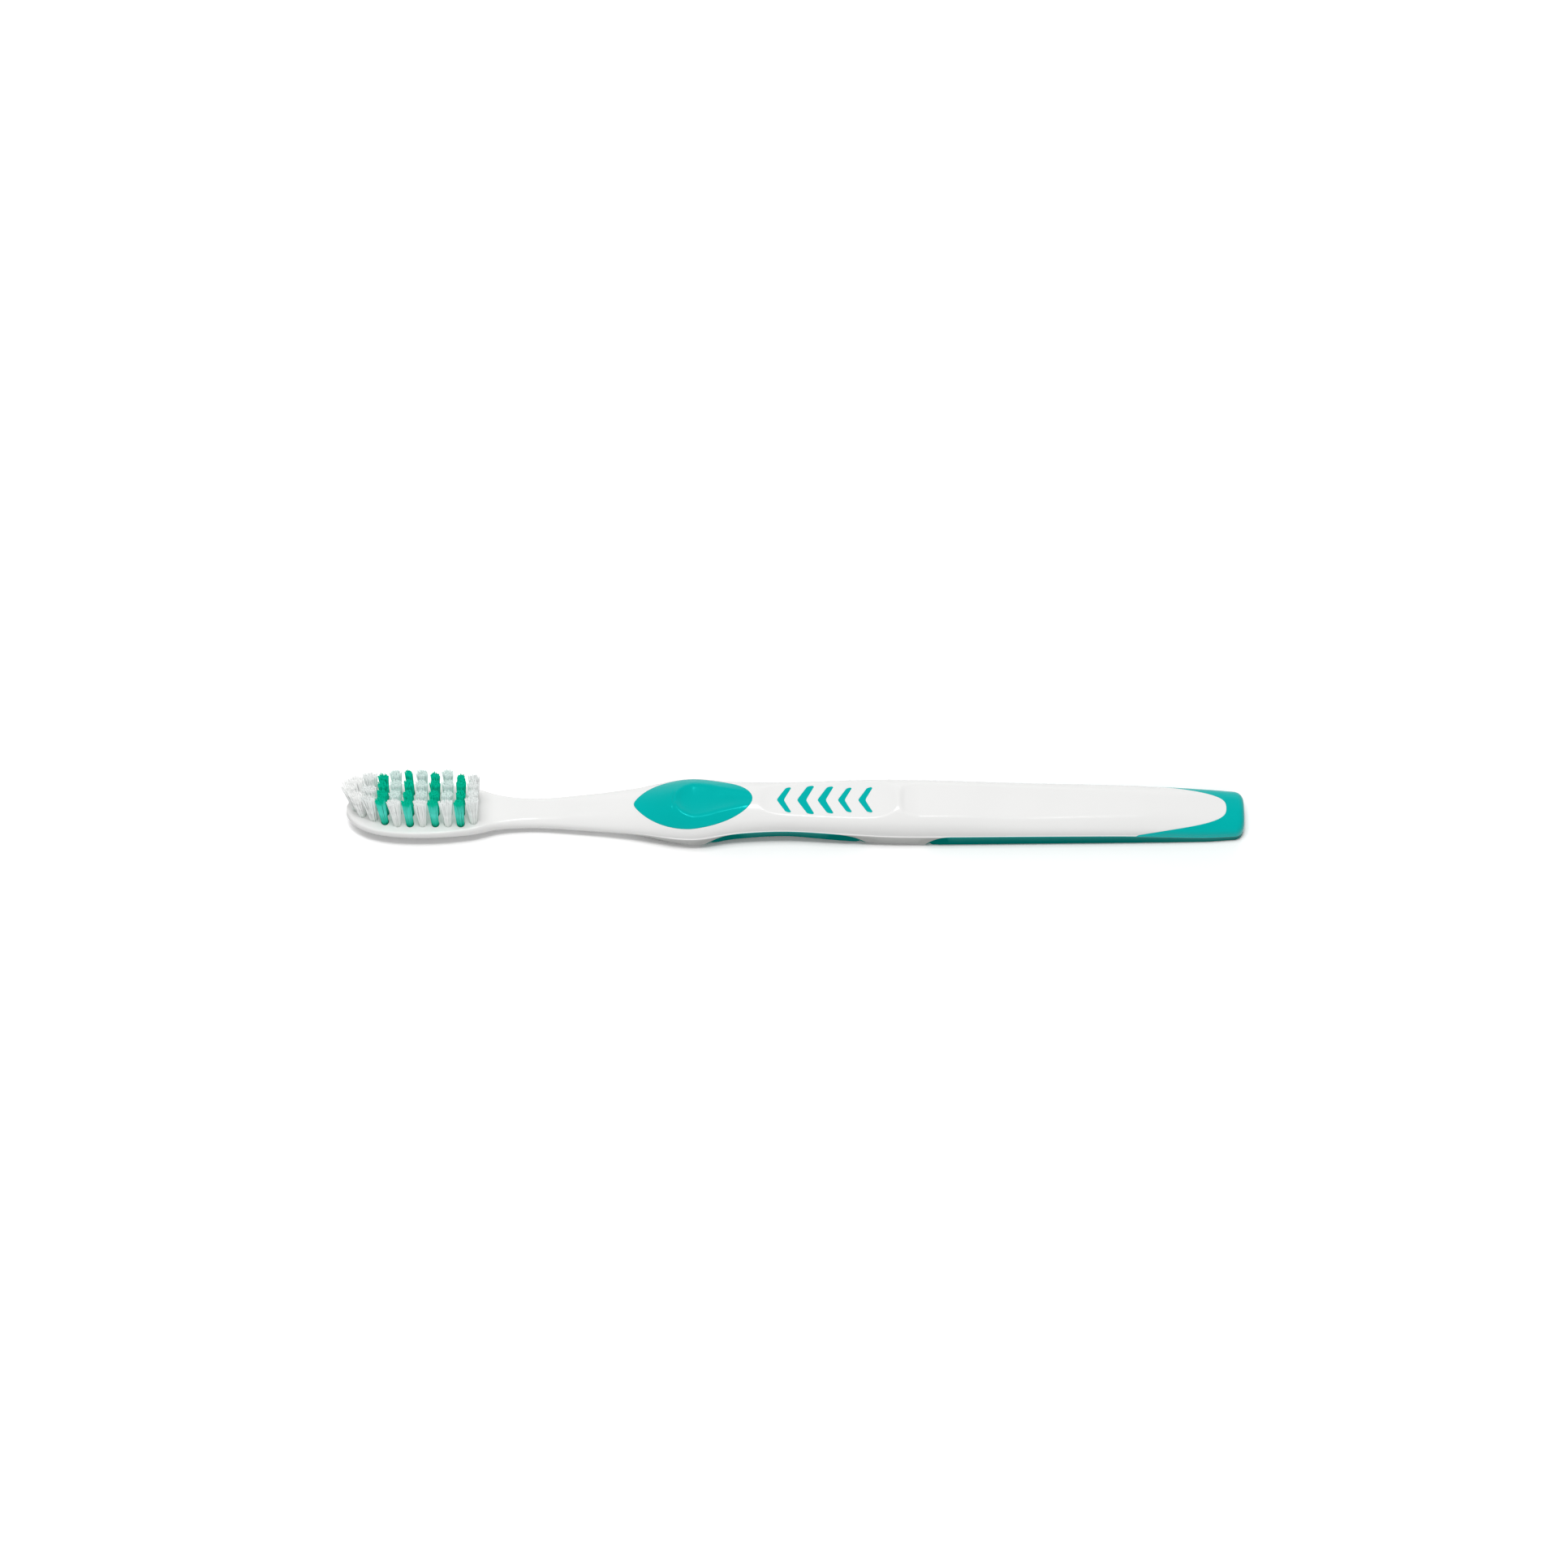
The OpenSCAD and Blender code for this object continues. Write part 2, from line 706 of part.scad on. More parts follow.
module handle_core() {
    color("white")
        difference() {
            body_form();
            palm_zone();
            finger_zone();
            pad_recess();
            for (i = [0:len(chevron_weight_shares) - 1])
                chevron_recess(i);
            for (t = tufts)
                translate([along(t[0]), t[1], head_face_z - tuft_hole_depth])
                    cylinder(h = tuft_hole_depth + overrun, d = tuft_hole_d, $fn = hole_sides);
        }
}

function chevron_name(i) = str("chevron_", i + 1);

handle_core();
thumb_pad();
finger_grip();
palm_grip();
tuft_anchors();
for (i = [0:len(chevron_weight_shares) - 1])
    chevron(i);
for (t = tufts)
    tuft(t);
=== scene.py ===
"""A manual toothbrush lying on its back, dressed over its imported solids.

Shapes are worked out in millimetres, with X along the brush, Y across it and Z up from the table,
and become metres when they go into a mesh. Along the brush a place is given as s, the distance
from the tip of the head.
"""
import math

import bmesh
import bpy
import numpy as np
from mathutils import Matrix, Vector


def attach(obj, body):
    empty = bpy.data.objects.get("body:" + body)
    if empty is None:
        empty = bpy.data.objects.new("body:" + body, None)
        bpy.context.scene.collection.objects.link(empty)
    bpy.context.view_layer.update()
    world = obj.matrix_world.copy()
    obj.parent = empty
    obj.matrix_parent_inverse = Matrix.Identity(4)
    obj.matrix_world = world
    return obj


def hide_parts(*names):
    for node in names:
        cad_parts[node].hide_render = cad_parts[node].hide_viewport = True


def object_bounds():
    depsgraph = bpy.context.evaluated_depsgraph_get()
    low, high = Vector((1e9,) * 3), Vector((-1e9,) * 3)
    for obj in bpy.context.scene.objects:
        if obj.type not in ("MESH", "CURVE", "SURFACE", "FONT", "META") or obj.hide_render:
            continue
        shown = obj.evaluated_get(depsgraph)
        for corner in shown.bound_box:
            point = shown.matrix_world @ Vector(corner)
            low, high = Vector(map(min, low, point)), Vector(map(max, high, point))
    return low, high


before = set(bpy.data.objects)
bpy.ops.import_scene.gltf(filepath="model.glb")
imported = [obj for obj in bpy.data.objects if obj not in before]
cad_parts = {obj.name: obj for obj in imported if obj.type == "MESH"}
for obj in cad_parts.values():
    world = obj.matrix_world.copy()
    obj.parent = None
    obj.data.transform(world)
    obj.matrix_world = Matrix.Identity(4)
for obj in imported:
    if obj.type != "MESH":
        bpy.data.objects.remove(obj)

cad_low, cad_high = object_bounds()
MM = 0.001

# Driving sizes, in millimetres
BRUSH_LEN = (cad_high[0] - cad_low[0]) / MM
HEAD_LEN = 33.0
HEAD_W = 12.3
HEAD_FACE_Z = 5.3
HEAD_LIFT = 0.5
HEAD_CROWN = 2.1
NECK_W = 6.4
NECK_TOP_Z = 5.05
SWELL_W = 14.2
SWELL_TOP_Z = 10.5
WAIST_W = 10.9
WAIST_TOP_Z = 10.3
WAIST_LIFT = 1.7
BELLY_W = 12.7
BELLY_TOP_Z = 10.3
TAIL_W = 11.1
TAIL_TOP_Z = 6.1
TAIL_CORNER_R = 2.0
TAIL_EDGE_R = 1.2
FLAT_CUT = 0.2
PANEL_Z = 9.4
PANEL_LEN = 29.6

# A height that is clear above the whole brush
CLEAR_ABOVE = 30


class Curve:
    """Smooth curve through stations (place, value): cubic pieces that never overshoot, because the
    slope at a station is the harmonic mean of its two chords, or zero where they change sign."""

    def __init__(self, stations):
        self.at, self.value = np.array(stations, float).T
        chord = np.diff(self.value) / np.diff(self.at)
        before, after = chord[:-1], chord[1:]
        rising = before * after > 0
        safe = np.where(rising, before + after, 1.0)
        inner = np.where(rising, 2 * before * after / safe, 0.0)
        self.slope = np.concatenate([chord[:1], inner, chord[-1:]])

    def __call__(self, s):
        i = np.clip(np.searchsorted(self.at, s, side="right") - 1, 0, len(self.at) - 2)
        step = self.at[i + 1] - self.at[i]
        u = (s - self.at[i]) / step
        return ((1 + 2 * u) * (1 - u) ** 2 * self.value[i] + u * (1 - u) ** 2 * step * self.slope[i]
                + u * u * (3 - 2 * u) * self.value[i + 1] + u * u * (u - 1) * step * self.slope[i + 1])


def on_head(share):
    """A place along the head, as a share of its length."""
    return share * HEAD_LEN


def on_stem(share):
    """A place along the neck and handle, as a share of their length."""
    return HEAD_LEN + share * (BRUSH_LEN - HEAD_LEN)


WIDEST_AT = on_head(0.49)
NECK_AT = on_stem(0.04)
SWELL_AT = on_stem(0.258)
WAIST_AT = on_stem(0.38)
BELLY_AT = on_stem(0.54)
TAIL_AT = on_stem(0.946)
PANEL_MID = WAIST_AT + 0.3 * PANEL_LEN


BELL_SPREAD = 1.6
BELL_REACH = 3
BELL_STEP = 0.25


def softened(curve):
    """The same curve with the changes of bend at its stations blurred over a short length, so that
    gloss runs along the handle without kinks: a weighted mean under a bell, which is cut off at
    three times its spread."""
    reach = int(BELL_REACH * BELL_SPREAD / BELL_STEP)
    grid = np.arange(-reach, int(BRUSH_LEN / BELL_STEP) + reach + 1) * BELL_STEP
    bell = np.exp(-0.5 * (np.arange(-reach, reach + 1) * BELL_STEP / BELL_SPREAD) ** 2)
    inside = np.clip(grid, 0, BRUSH_LEN)
    value = curve(inside) + (grid - inside) * np.where(grid < 0, curve.slope[0], curve.slope[-1])
    smooth = np.convolve(value, bell / bell.sum(), mode="same")
    keep = slice(reach, len(grid) - reach)
    return lambda s: np.interp(s, grid[keep], smooth[keep])


head_half, neck_half, swell_half = HEAD_W / 2, NECK_W / 2, SWELL_W / 2
waist_half, belly_half, tail_half = WAIST_W / 2, BELLY_W / 2, TAIL_W / 2
plan_half = softened(Curve([
    (0, head_half),
    (WIDEST_AT, head_half),
    (on_head(0.84), 0.37 * neck_half + 0.63 * head_half),
    (on_head(0.95), 0.8 * neck_half + 0.2 * head_half),
    (NECK_AT, neck_half),
    (on_stem(0.108), 0.81 * neck_half + 0.19 * swell_half),
    (on_stem(0.172), 0.53 * neck_half + 0.47 * swell_half),
    (SWELL_AT, swell_half),
    (on_stem(0.312), 0.25 * swell_half + 0.75 * waist_half),
    (WAIST_AT, waist_half),
    (on_stem(0.452), 0.5 * waist_half + 0.5 * belly_half),
    (BELLY_AT, belly_half),
    (on_stem(0.713), 0.7 * belly_half + 0.3 * tail_half),
    (TAIL_AT, tail_half),
    (BRUSH_LEN, tail_half - TAIL_EDGE_R / 2),
]))
underside = Curve([
    (0, 0.6 * HEAD_FACE_Z),
    (on_head(0.06), 0.28 * HEAD_FACE_Z),
    (on_head(0.2), HEAD_LIFT + 0.05 * HEAD_FACE_Z),
    (WIDEST_AT, HEAD_LIFT),
    (NECK_AT, 0.9 * HEAD_LIFT),
    (on_stem(0.172), 0.2 * HEAD_LIFT),
    (SWELL_AT, -FLAT_CUT),
    (on_stem(0.312), 0.5 * WAIST_LIFT),
    (WAIST_AT, WAIST_LIFT),
    (on_stem(0.452), 0.5 * WAIST_LIFT),
    (BELLY_AT, 0.2 * WAIST_LIFT),
    (on_stem(0.6), -FLAT_CUT),
    (BRUSH_LEN, -FLAT_CUT),
])
crown = softened(Curve([
    (0, HEAD_FACE_Z),
    (on_head(0.2), HEAD_FACE_Z + 0.8 * HEAD_CROWN),
    (WIDEST_AT, HEAD_FACE_Z + HEAD_CROWN),
    (on_head(0.82), HEAD_FACE_Z + 0.9 * HEAD_CROWN),
    (on_head(0.95), HEAD_FACE_Z + 0.35 * HEAD_CROWN),
    (NECK_AT, NECK_TOP_Z),
    (on_stem(0.108), 0.88 * NECK_TOP_Z + 0.12 * SWELL_TOP_Z),
    (on_stem(0.172), 0.62 * NECK_TOP_Z + 0.38 * SWELL_TOP_Z),
    (SWELL_AT, SWELL_TOP_Z),
    (on_stem(0.312), 0.5 * SWELL_TOP_Z + 0.5 * WAIST_TOP_Z),
    (WAIST_AT, WAIST_TOP_Z),
    (on_stem(0.5), BELLY_TOP_Z + 0.35),
    (on_stem(0.6), BELLY_TOP_Z),
    (on_stem(0.713), 0.65 * BELLY_TOP_Z + 0.35 * TAIL_TOP_Z),
    (on_stem(0.857), 0.4 * BELLY_TOP_Z + 0.6 * TAIL_TOP_Z),
    (TAIL_AT, TAIL_TOP_Z),
    (BRUSH_LEN, TAIL_TOP_Z - 0.6 * TAIL_EDGE_R),
]))
upper_power = Curve([(0, 2.4), (NECK_AT, 2.4), (on_stem(0.172), 2), (SWELL_AT, 1.8), (WAIST_AT, 2.4),
                     (on_stem(0.5), 2.5), (on_stem(0.56), 2.3), (on_stem(0.66), 2.15), (on_stem(0.83), 2.1),
                     (TAIL_AT, 2.3), (BRUSH_LEN, 2.3)])
under_power = Curve([(0, 2.4), (on_stem(0.172), 2.4), (SWELL_AT, 5), (WAIST_AT, 6), (BELLY_AT, 12),
                     (TAIL_AT, 12), (BRUSH_LEN, 8)])


TIP_BLUNT = 0.99
TIP_POWER = 2.6
TIP_ROUND = 0.476


def rounding(s, r):
    """What a quarter circle of radius r takes off at the tail's end."""
    past = np.clip(s - BRUSH_LEN + r, 0, r)
    return r - np.sqrt(r * r - past * past)


def tip_share(s):
    """The rounded plan of the head's tip, as a share of its half width: a superellipse of the share
    of the way from the widest place to the tip, which stops just short of the point."""
    t = np.clip(1 - s / WIDEST_AT, 0, 1) * TIP_BLUNT
    return (1 - t ** TIP_POWER) ** TIP_ROUND


def half_width(s):
    """Half the brush's width: the plan, rounded at the tip and at the tail's corners."""
    return plan_half(s) * tip_share(s) - rounding(s, TAIL_CORNER_R)


def low_z(s):
    """Height of the back's middle line, rounded up at the tail's end."""
    return underside(s) + rounding(s, TAIL_EDGE_R)


def top_z(s):
    """Height of the crown's middle line, rounded down at the tail's end."""
    return crown(s) - rounding(s, TAIL_EDGE_R)


def soft_min(a, b, k):
    """The lower of two heights. Where they differ by less than k, a parabola of their difference
    rounds the edge between them."""
    h = np.maximum(k - np.abs(a - b), 0) / k
    return np.minimum(a, b) - h * h * k / 4


# The flats that cut the crown: the head's bristle face, which runs out along the neck, the panel
# behind the thumb and the long bare panel of the belly, which fades towards the tail
LABEL_START = BELLY_AT + 0.4
PANEL_END_RISE = 0.13
PANEL_END_POWER = 6
NECK_EDGE = 0.32
PANEL_EDGE = 0.25
LABEL_EDGE = 0.3
neck_flat = Curve([(0, HEAD_FACE_Z), (on_head(0.86), HEAD_FACE_Z), (on_head(0.98), 4.92), (NECK_AT, 4.72),
                   (on_stem(0.07), 4.95), (on_stem(0.12), 6.6), (BRUSH_LEN, CLEAR_ABOVE)])
label_cut = Curve([(0, -2), (LABEL_START - 2.6, -0.5), (LABEL_START, 0.6), (LABEL_START + 3.2, 1.0),
                   (on_stem(0.66), 0.95), (on_stem(0.76), 0.6), (on_stem(0.86), 0.25), (on_stem(0.94), -0.3),
                   (BRUSH_LEN, -1)])


def panel_height(s):
    """The panel's floor: level along its middle, and rising to both of its ends with the sixth
    power of the distance from there."""
    return PANEL_Z + PANEL_END_RISE * PANEL_Z * ((s - PANEL_MID) / (PANEL_LEN / 2)) ** PANEL_END_POWER


def flatten(s, z):
    """Cuts a height down to the flats of neck, panel and belly, each with a soft edge of its own."""
    z = soft_min(z, neck_flat(s), NECK_EDGE)
    z = soft_min(z, panel_height(s), PANEL_EDGE)
    return soft_min(z, top_z(s) - label_cut(s), LABEL_EDGE)


# The rim: the widest line of both sides, a fine bead with a step in below it and a ledge above it
RIM_STEP = 0.07
RIM_BAND = 0.1
LEDGE = 0.13
LEDGE_H = 0.12
RIM_OVER_LOW = 0.2
RIM_UNDER_TOP = 0.3
ANGLES = 721
rim_curve = softened(Curve([
    (0, 4.1), (WIDEST_AT, 3.95), (on_head(0.95), 3.3), (NECK_AT, 2.75), (on_stem(0.108), 3.1),
    (on_stem(0.172), 3.7), (SWELL_AT, 4.55), (WAIST_AT, 5.3), (on_stem(0.43), 5.05), (BELLY_AT, 4.3),
    (on_stem(0.7), 4.15), (on_stem(0.83), 3.85), (TAIL_AT, 2.6), (BRUSH_LEN, 2.2)]))
rim_share = Curve([(0, 0), (on_stem(0.14), 0), (SWELL_AT, 1), (TAIL_AT, 1), (BRUSH_LEN - 1.5, 0.5),
                   (BRUSH_LEN, 0.3)])


def rim_height(s):
    """The rim's height, kept between the underside and the top where the ends round off."""
    return np.clip(rim_curve(s), low_z(s) + RIM_OVER_LOW, top_z(s) - RIM_UNDER_TOP)


def dense_half(s):
    """Half of the cross-section at each place s, from the bottom's middle up to the top's middle.

    It is a superellipse about the rim's height, with a power for its upper side and another for its
    under side. Below the rim it steps in by the fine step, and above the rim's bead by the ledge,
    both along an S curve and only as far as the rim goes. Above, it is flattened, and it is cut
    level at the table. Returns y, z and the length along the outline, one row for each place."""
    s = np.asarray(s, float)[:, None]
    angle = np.linspace(-math.pi / 2, math.pi / 2, ANGLES)[None, :]
    c = np.clip(np.cos(angle), 0, 1)
    n = np.sin(angle)
    p = np.where(n >= 0, upper_power(s), under_power(s))
    w, low, top, rim = half_width(s), low_z(s), top_z(s), rim_height(s)
    y = w * c ** (2 / p)
    z = rim + np.where(n >= 0, top - rim, rim - low) * np.sign(n) * np.abs(n) ** (2 / p)
    below = np.clip((rim - z) / RIM_BAND, 0, 1)
    above = np.clip((z - rim - LEDGE_H) / RIM_BAND, 0, 1)
    step = RIM_STEP * below * below * (3 - 2 * below) + LEDGE * above * above * (3 - 2 * above)
    y = y - step * rim_share(s) * (y / w) ** 3
    z = np.maximum(flatten(s, z), 0)
    lengths = np.cumsum(np.hypot(np.diff(y), np.diff(z)), axis=1)
    return y, z, np.concatenate([np.zeros_like(y[:, :1]), lengths], axis=1)


def rows_interp(x, xp, fp):
    """Linear interpolation row by row: each row is moved past the one before it, so that one call
    serves them all."""
    shift = np.arange(len(xp))[:, None] * (xp.max() + 1.0)
    return np.interp((x + shift).ravel(), (xp + shift).ravel(), fp.ravel()).reshape(x.shape)


def place_of(along, hit):
    """Length along each outline at which the rising quantity `hit` first passes zero."""
    first = np.argmax(hit > 0, axis=1)
    first = np.where((hit > 0).any(axis=1), first, hit.shape[1] - 1)
    i = np.maximum(first, 1)
    row = np.arange(len(i))
    a, b = hit[row, i - 1], hit[row, i]
    share = np.clip(np.where(b != a, -a / np.where(b != a, b - a, 1), 0), 0, 1)
    return along[row, i - 1] + share * (along[row, i] - along[row, i - 1])


# The back grips, and the white tongue that ends inside the palm grip
FINGER_GRIP_LEN = 41.0
FINGER_START = WAIST_AT - FINGER_GRIP_LEN / 2
FINGER_END = WAIST_AT + FINGER_GRIP_LEN / 2
PALM_START = on_stem(0.56)
TAIL_CAP_LEN = 3.9
TONGUE_LEN = 18.6
TONGUE_END = BRUSH_LEN - TAIL_CAP_LEN
TONGUE_START = TONGUE_END - TONGUE_LEN
TONGUE_HALF = float(half_width(np.array([TONGUE_START]))[0])
TONGUE_POWER = 0.34
FINGER_END_POWER = 6
PALM_ROUND = 7
SEAM_OVER_RIM = 0.4


def grip_share(s):
    """How far up to the rim a grip reaches: 0 off the grips, 1 along them, with rounded ends. The
    finger grip's ends follow a sixth power, and the palm grip's start a quarter round."""
    finger = 1 - np.abs((s - WAIST_AT) / (FINGER_GRIP_LEN / 2)) ** FINGER_END_POWER
    palm = np.clip((s - PALM_START) / PALM_ROUND, 0, 1)
    palm = np.sqrt(1 - (1 - palm) ** 2)
    return np.clip(np.maximum(finger, palm), 0, 1)


def seam_place(s, y, z, along):
    """Length from the bottom's middle to the seam between white and soft, for each place.

    On a grip the seam follows the rim, and past the tongue's start it follows the tongue's
    outline, seen from above, until the two sides meet at the top. The outline's half width is that
    of the start times a power of the share of the tongue that is still to come. Returns the rim's
    length too."""
    s = np.asarray(s, float)
    rim = place_of(along, z - rim_height(s)[:, None])
    u = np.clip((s - TONGUE_START) / TONGUE_LEN, 0, 1)
    side = TONGUE_HALF * (1 - u) ** TONGUE_POWER
    outline = place_of(along, np.where(along > rim[:, None], side[:, None] - y, -1.0))
    on_tongue = (s > TONGUE_START) & (side < y.max(axis=1))
    return rim, np.where(on_tongue, np.maximum(outline, rim + SEAM_OVER_RIM), rim * grip_share(s))


def spaced(start, end, count, near_start=(), near_end=()):
    """Places from start to end, one row each: at the given distances from either end, and in even
    steps between them."""
    start, end = start[:, None], end[:, None]
    q = np.linspace(0, 1, count)[None, :]
    span = end - start
    even = span * q
    for i, d in enumerate(near_start):
        even[:, i] = np.minimum(d, span[:, 0] * q[0, i])
    if near_start:
        k = len(near_start) - 1
        left, q_left = even[:, k:k + 1], q[:, k:k + 1]
        even[:, k:] = left + (span - left) * (q[:, k:] - q_left) / (1 - q_left)
    for i, d in enumerate(near_end):
        even[:, count - 1 - i] = span[:, 0] - np.minimum(d, span[:, 0] * q[0, i])
    return start + np.sort(even, axis=1)


# Rings of points close to a seam, the wall under the grips and the groove along a seam
CLOSE = (0, 0.03, 0.06, 0.1, 0.14, 0.19, 0.26, 0.36)
CORE_INSET = 1.3
CORE_RAMP = 2
CORE_SHARE = 0.6
WALL_SQUARE = 0.004
WALL_POWER = 1.2
WALL_POINTS = 12
SEAM_GROOVE = 0.05
SEAM_GROOVE_W = 0.09
SEAM_MARGIN = 0.02
LEAST_REACH = 0.3


class Sections:
    """The cross-sections at a list of places, with their rim, seam and inner wall worked out."""

    def __init__(self, s):
        self.s = np.asarray(s, float)
        self.y, self.z, self.along = dense_half(self.s)
        self.rim, self.seam = seam_place(self.s, self.y, self.z, self.along)
        self.top = self.along[:, -1]
        self.seam = np.minimum(self.seam, self.top)
        self.mid = (low_z(self.s) + top_z(self.s)) / 2
        self.grooved = (self.seam > SEAM_MARGIN) & (self.seam < self.top - SEAM_MARGIN)

    def point(self, a):
        """Points on the outline at lengths a, drawn in towards the middle by a fine groove along the
        seam, whose depth is a bell of the distance from it."""
        y = rows_interp(a, self.along, self.y)
        z = rows_interp(a, self.along, self.z)
        d = np.abs(a - self.seam[:, None])
        depth = np.where(self.grooved[:, None], SEAM_GROOVE * np.exp(-(d / SEAM_GROOVE_W) ** 2), 0)
        reach = np.hypot(y, z - self.mid[:, None])
        share = 1 - depth / np.maximum(reach, LEAST_REACH)
        return y * share, self.mid[:, None] + (z - self.mid[:, None]) * share

    def inner(self):
        """The wall that white and soft share: it leaves the seam square to the surface, then follows
        the outline at a fixed depth, down to the bottom's middle. It is shallower where the soft
        side is narrow."""
        q = np.linspace(0, 1, WALL_POINTS)
        down = np.concatenate([[0, WALL_SQUARE], q[1:-1] ** WALL_POWER, [1]])
        y, z = self.point(self.seam[:, None] * (1 - down)[None, :])
        reach = np.hypot(y, z - self.mid[:, None])
        sunk = np.concatenate([[0], np.ones(WALL_POINTS)])[None, :]
        ramp = np.minimum(1, self.seam / CORE_RAMP)[:, None] * sunk
        share = 1 - np.minimum(CORE_INSET * ramp, CORE_SHARE * reach) / np.maximum(reach, 1e-6)
        return y * share, self.mid[:, None] + (z - self.mid[:, None]) * share


def both_sides(y, z):
    """A whole ring from its half: the given side, then its mirror image back. The ends, which lie on
    the middle, come twice and are welded later."""
    return np.concatenate([y, -y[:, ::-1]], axis=1), np.concatenate([z, z[:, ::-1]], axis=1)


def weld_mesh(name, grid, caps=()):
    """A closed mesh from a grid of points, one row for each ring, whose rows wrap round.

    Quads become two triangles, and a fan closes each row that caps names."""
    rows, cols = grid.shape[:2]
    index = np.arange(rows * cols).reshape(rows, cols)
    a, b = index[:-1], np.roll(index, -1, axis=1)[:-1]
    c, d = np.roll(index, -1, axis=1)[1:], index[1:]
    triangles = [np.stack([a, b, c], -1).reshape(-1, 3), np.stack([a, c, d], -1).reshape(-1, 3)]
    points = [grid.reshape(-1, 3)]
    for hub, row in enumerate(caps, start=rows * cols):
        ring, following = index[row], np.roll(index[row], -1)
        points.append(grid[row].mean(axis=0)[None, :])
        pair = (ring, following) if row != 0 else (following, ring)
        triangles.append(np.stack([np.full(cols, hub), pair[0], pair[1]], -1))
    return welded(name, np.concatenate(points), np.concatenate(triangles))


WELD_STEPS_PER_MM = 1e4


def welded(name, points, triangles):
    """A mesh object from loose triangles in millimetres. Points closer than a ten thousandth of a
    millimetre become one, and triangles that lose a corner go."""
    _, first, back = np.unique(np.round(points * WELD_STEPS_PER_MM).astype(np.int64), axis=0,
                               return_index=True, return_inverse=True)
    triangles = back.reshape(-1)[triangles]
    whole = ((triangles[:, 0] != triangles[:, 1]) & (triangles[:, 1] != triangles[:, 2])
             & (triangles[:, 2] != triangles[:, 0]))
    mesh = bpy.data.meshes.new(name)
    mesh.from_pydata((points[first] * MM).tolist(), [], triangles[whole].tolist())
    mesh.validate()
    obj = bpy.data.objects.new(name, mesh)
    bpy.context.scene.collection.objects.link(obj)
    return obj


def outward(obj):
    """Turns a closed shell's faces outwards."""
    bm = bmesh.new()
    bm.from_mesh(obj.data)
    bmesh.ops.recalc_face_normals(bm, faces=bm.faces)
    bm.to_mesh(obj.data)
    bm.free()


SHARP_PAST = math.radians(38)


def smooth_shaded(obj):
    """Smooth shading, with edges that turn past a given angle kept sharp."""
    obj.data.shade_smooth()
    obj.data.set_sharp_from_angle(angle=SHARP_PAST)


def to_grid(s, y, z):
    """Points of the brush from rows of y and z at places s."""
    x = np.broadcast_to(np.asarray(s, float)[:, None] - BRUSH_LEN / 2, y.shape)
    return np.stack([x, y, z], axis=-1)


def stations(start, end, step):
    """Even places from start to end, about a step apart."""
    count = max(2, int(round((end - start) / step)) + 1)
    return np.linspace(start, end, count)


# Where rings stand closer: both ends, the tongue, the grips' ends and the panels' ends
MOULDING_STEP = 0.55
GRIP_STEP = 0.6
TAIL_STEP = 0.3
FINGER_ROUND = 4
TIP_RINGS = WIDEST_AT * (1 - np.cos(np.linspace(0, 1, 60) * math.pi / 2))
TAIL_RINGS = BRUSH_LEN - TAIL_CORNER_R * (1 - np.sin(np.linspace(0, 1, 24) * math.pi / 2))
TONGUE_RINGS = TONGUE_START + TONGUE_LEN * np.sin(np.linspace(0.2, 1, 70) * math.pi / 2)
FINGER_END_RINGS = np.concatenate([FINGER_START + np.linspace(0, 1, 22) ** 2 * FINGER_ROUND,
                                   FINGER_END - np.linspace(0, 1, 22) ** 2 * FINGER_ROUND])
PALM_START_RINGS = PALM_START + np.linspace(0, 1, 26) ** 2 * PALM_ROUND
PANEL_RINGS = np.concatenate([
    np.linspace(PANEL_MID - PANEL_LEN / 2 - 1.5, PANEL_MID - PANEL_LEN / 2 + 3, 16),
    np.linspace(PANEL_MID + PANEL_LEN / 2 - 3, LABEL_START + 5, 40)])


MOULDING_UNDER_POINTS = 28
MOULDING_OVER_POINTS = 52
GRIP_UNDER_POINTS = 30
GRIP_OVER_POINTS = 34


def white_moulding():
    """The head, neck and handle in one closed shell: rings of the outline above the seam, closed
    below by the wall that they share with the soft grips. Past the tongue nothing of it is left."""
    s = np.concatenate([TIP_RINGS, stations(WIDEST_AT, TONGUE_START, MOULDING_STEP), TONGUE_RINGS,
                        FINGER_END_RINGS, PALM_START_RINGS, PANEL_RINGS])
    s = np.unique(np.round(s[s <= TONGUE_END], 4))
    sec = Sections(s)
    rim = np.maximum(sec.seam, sec.rim)
    under = spaced(sec.seam, rim, MOULDING_UNDER_POINTS, near_end=CLOSE)
    over = spaced(rim, sec.top, MOULDING_OVER_POINTS, near_start=CLOSE)
    y, z = sec.point(np.concatenate([under, over[:, 1:]], axis=1))
    wall_y, wall_z = sec.inner()
    ring_y, ring_z = both_sides(np.concatenate([wall_y[:, :0:-1], y], axis=1),
                                np.concatenate([wall_z[:, :0:-1], z], axis=1))
    obj = weld_mesh("handle_moulding", to_grid(s, ring_y, ring_z), caps=(0, len(s) - 1))
    outward(obj)
    return obj


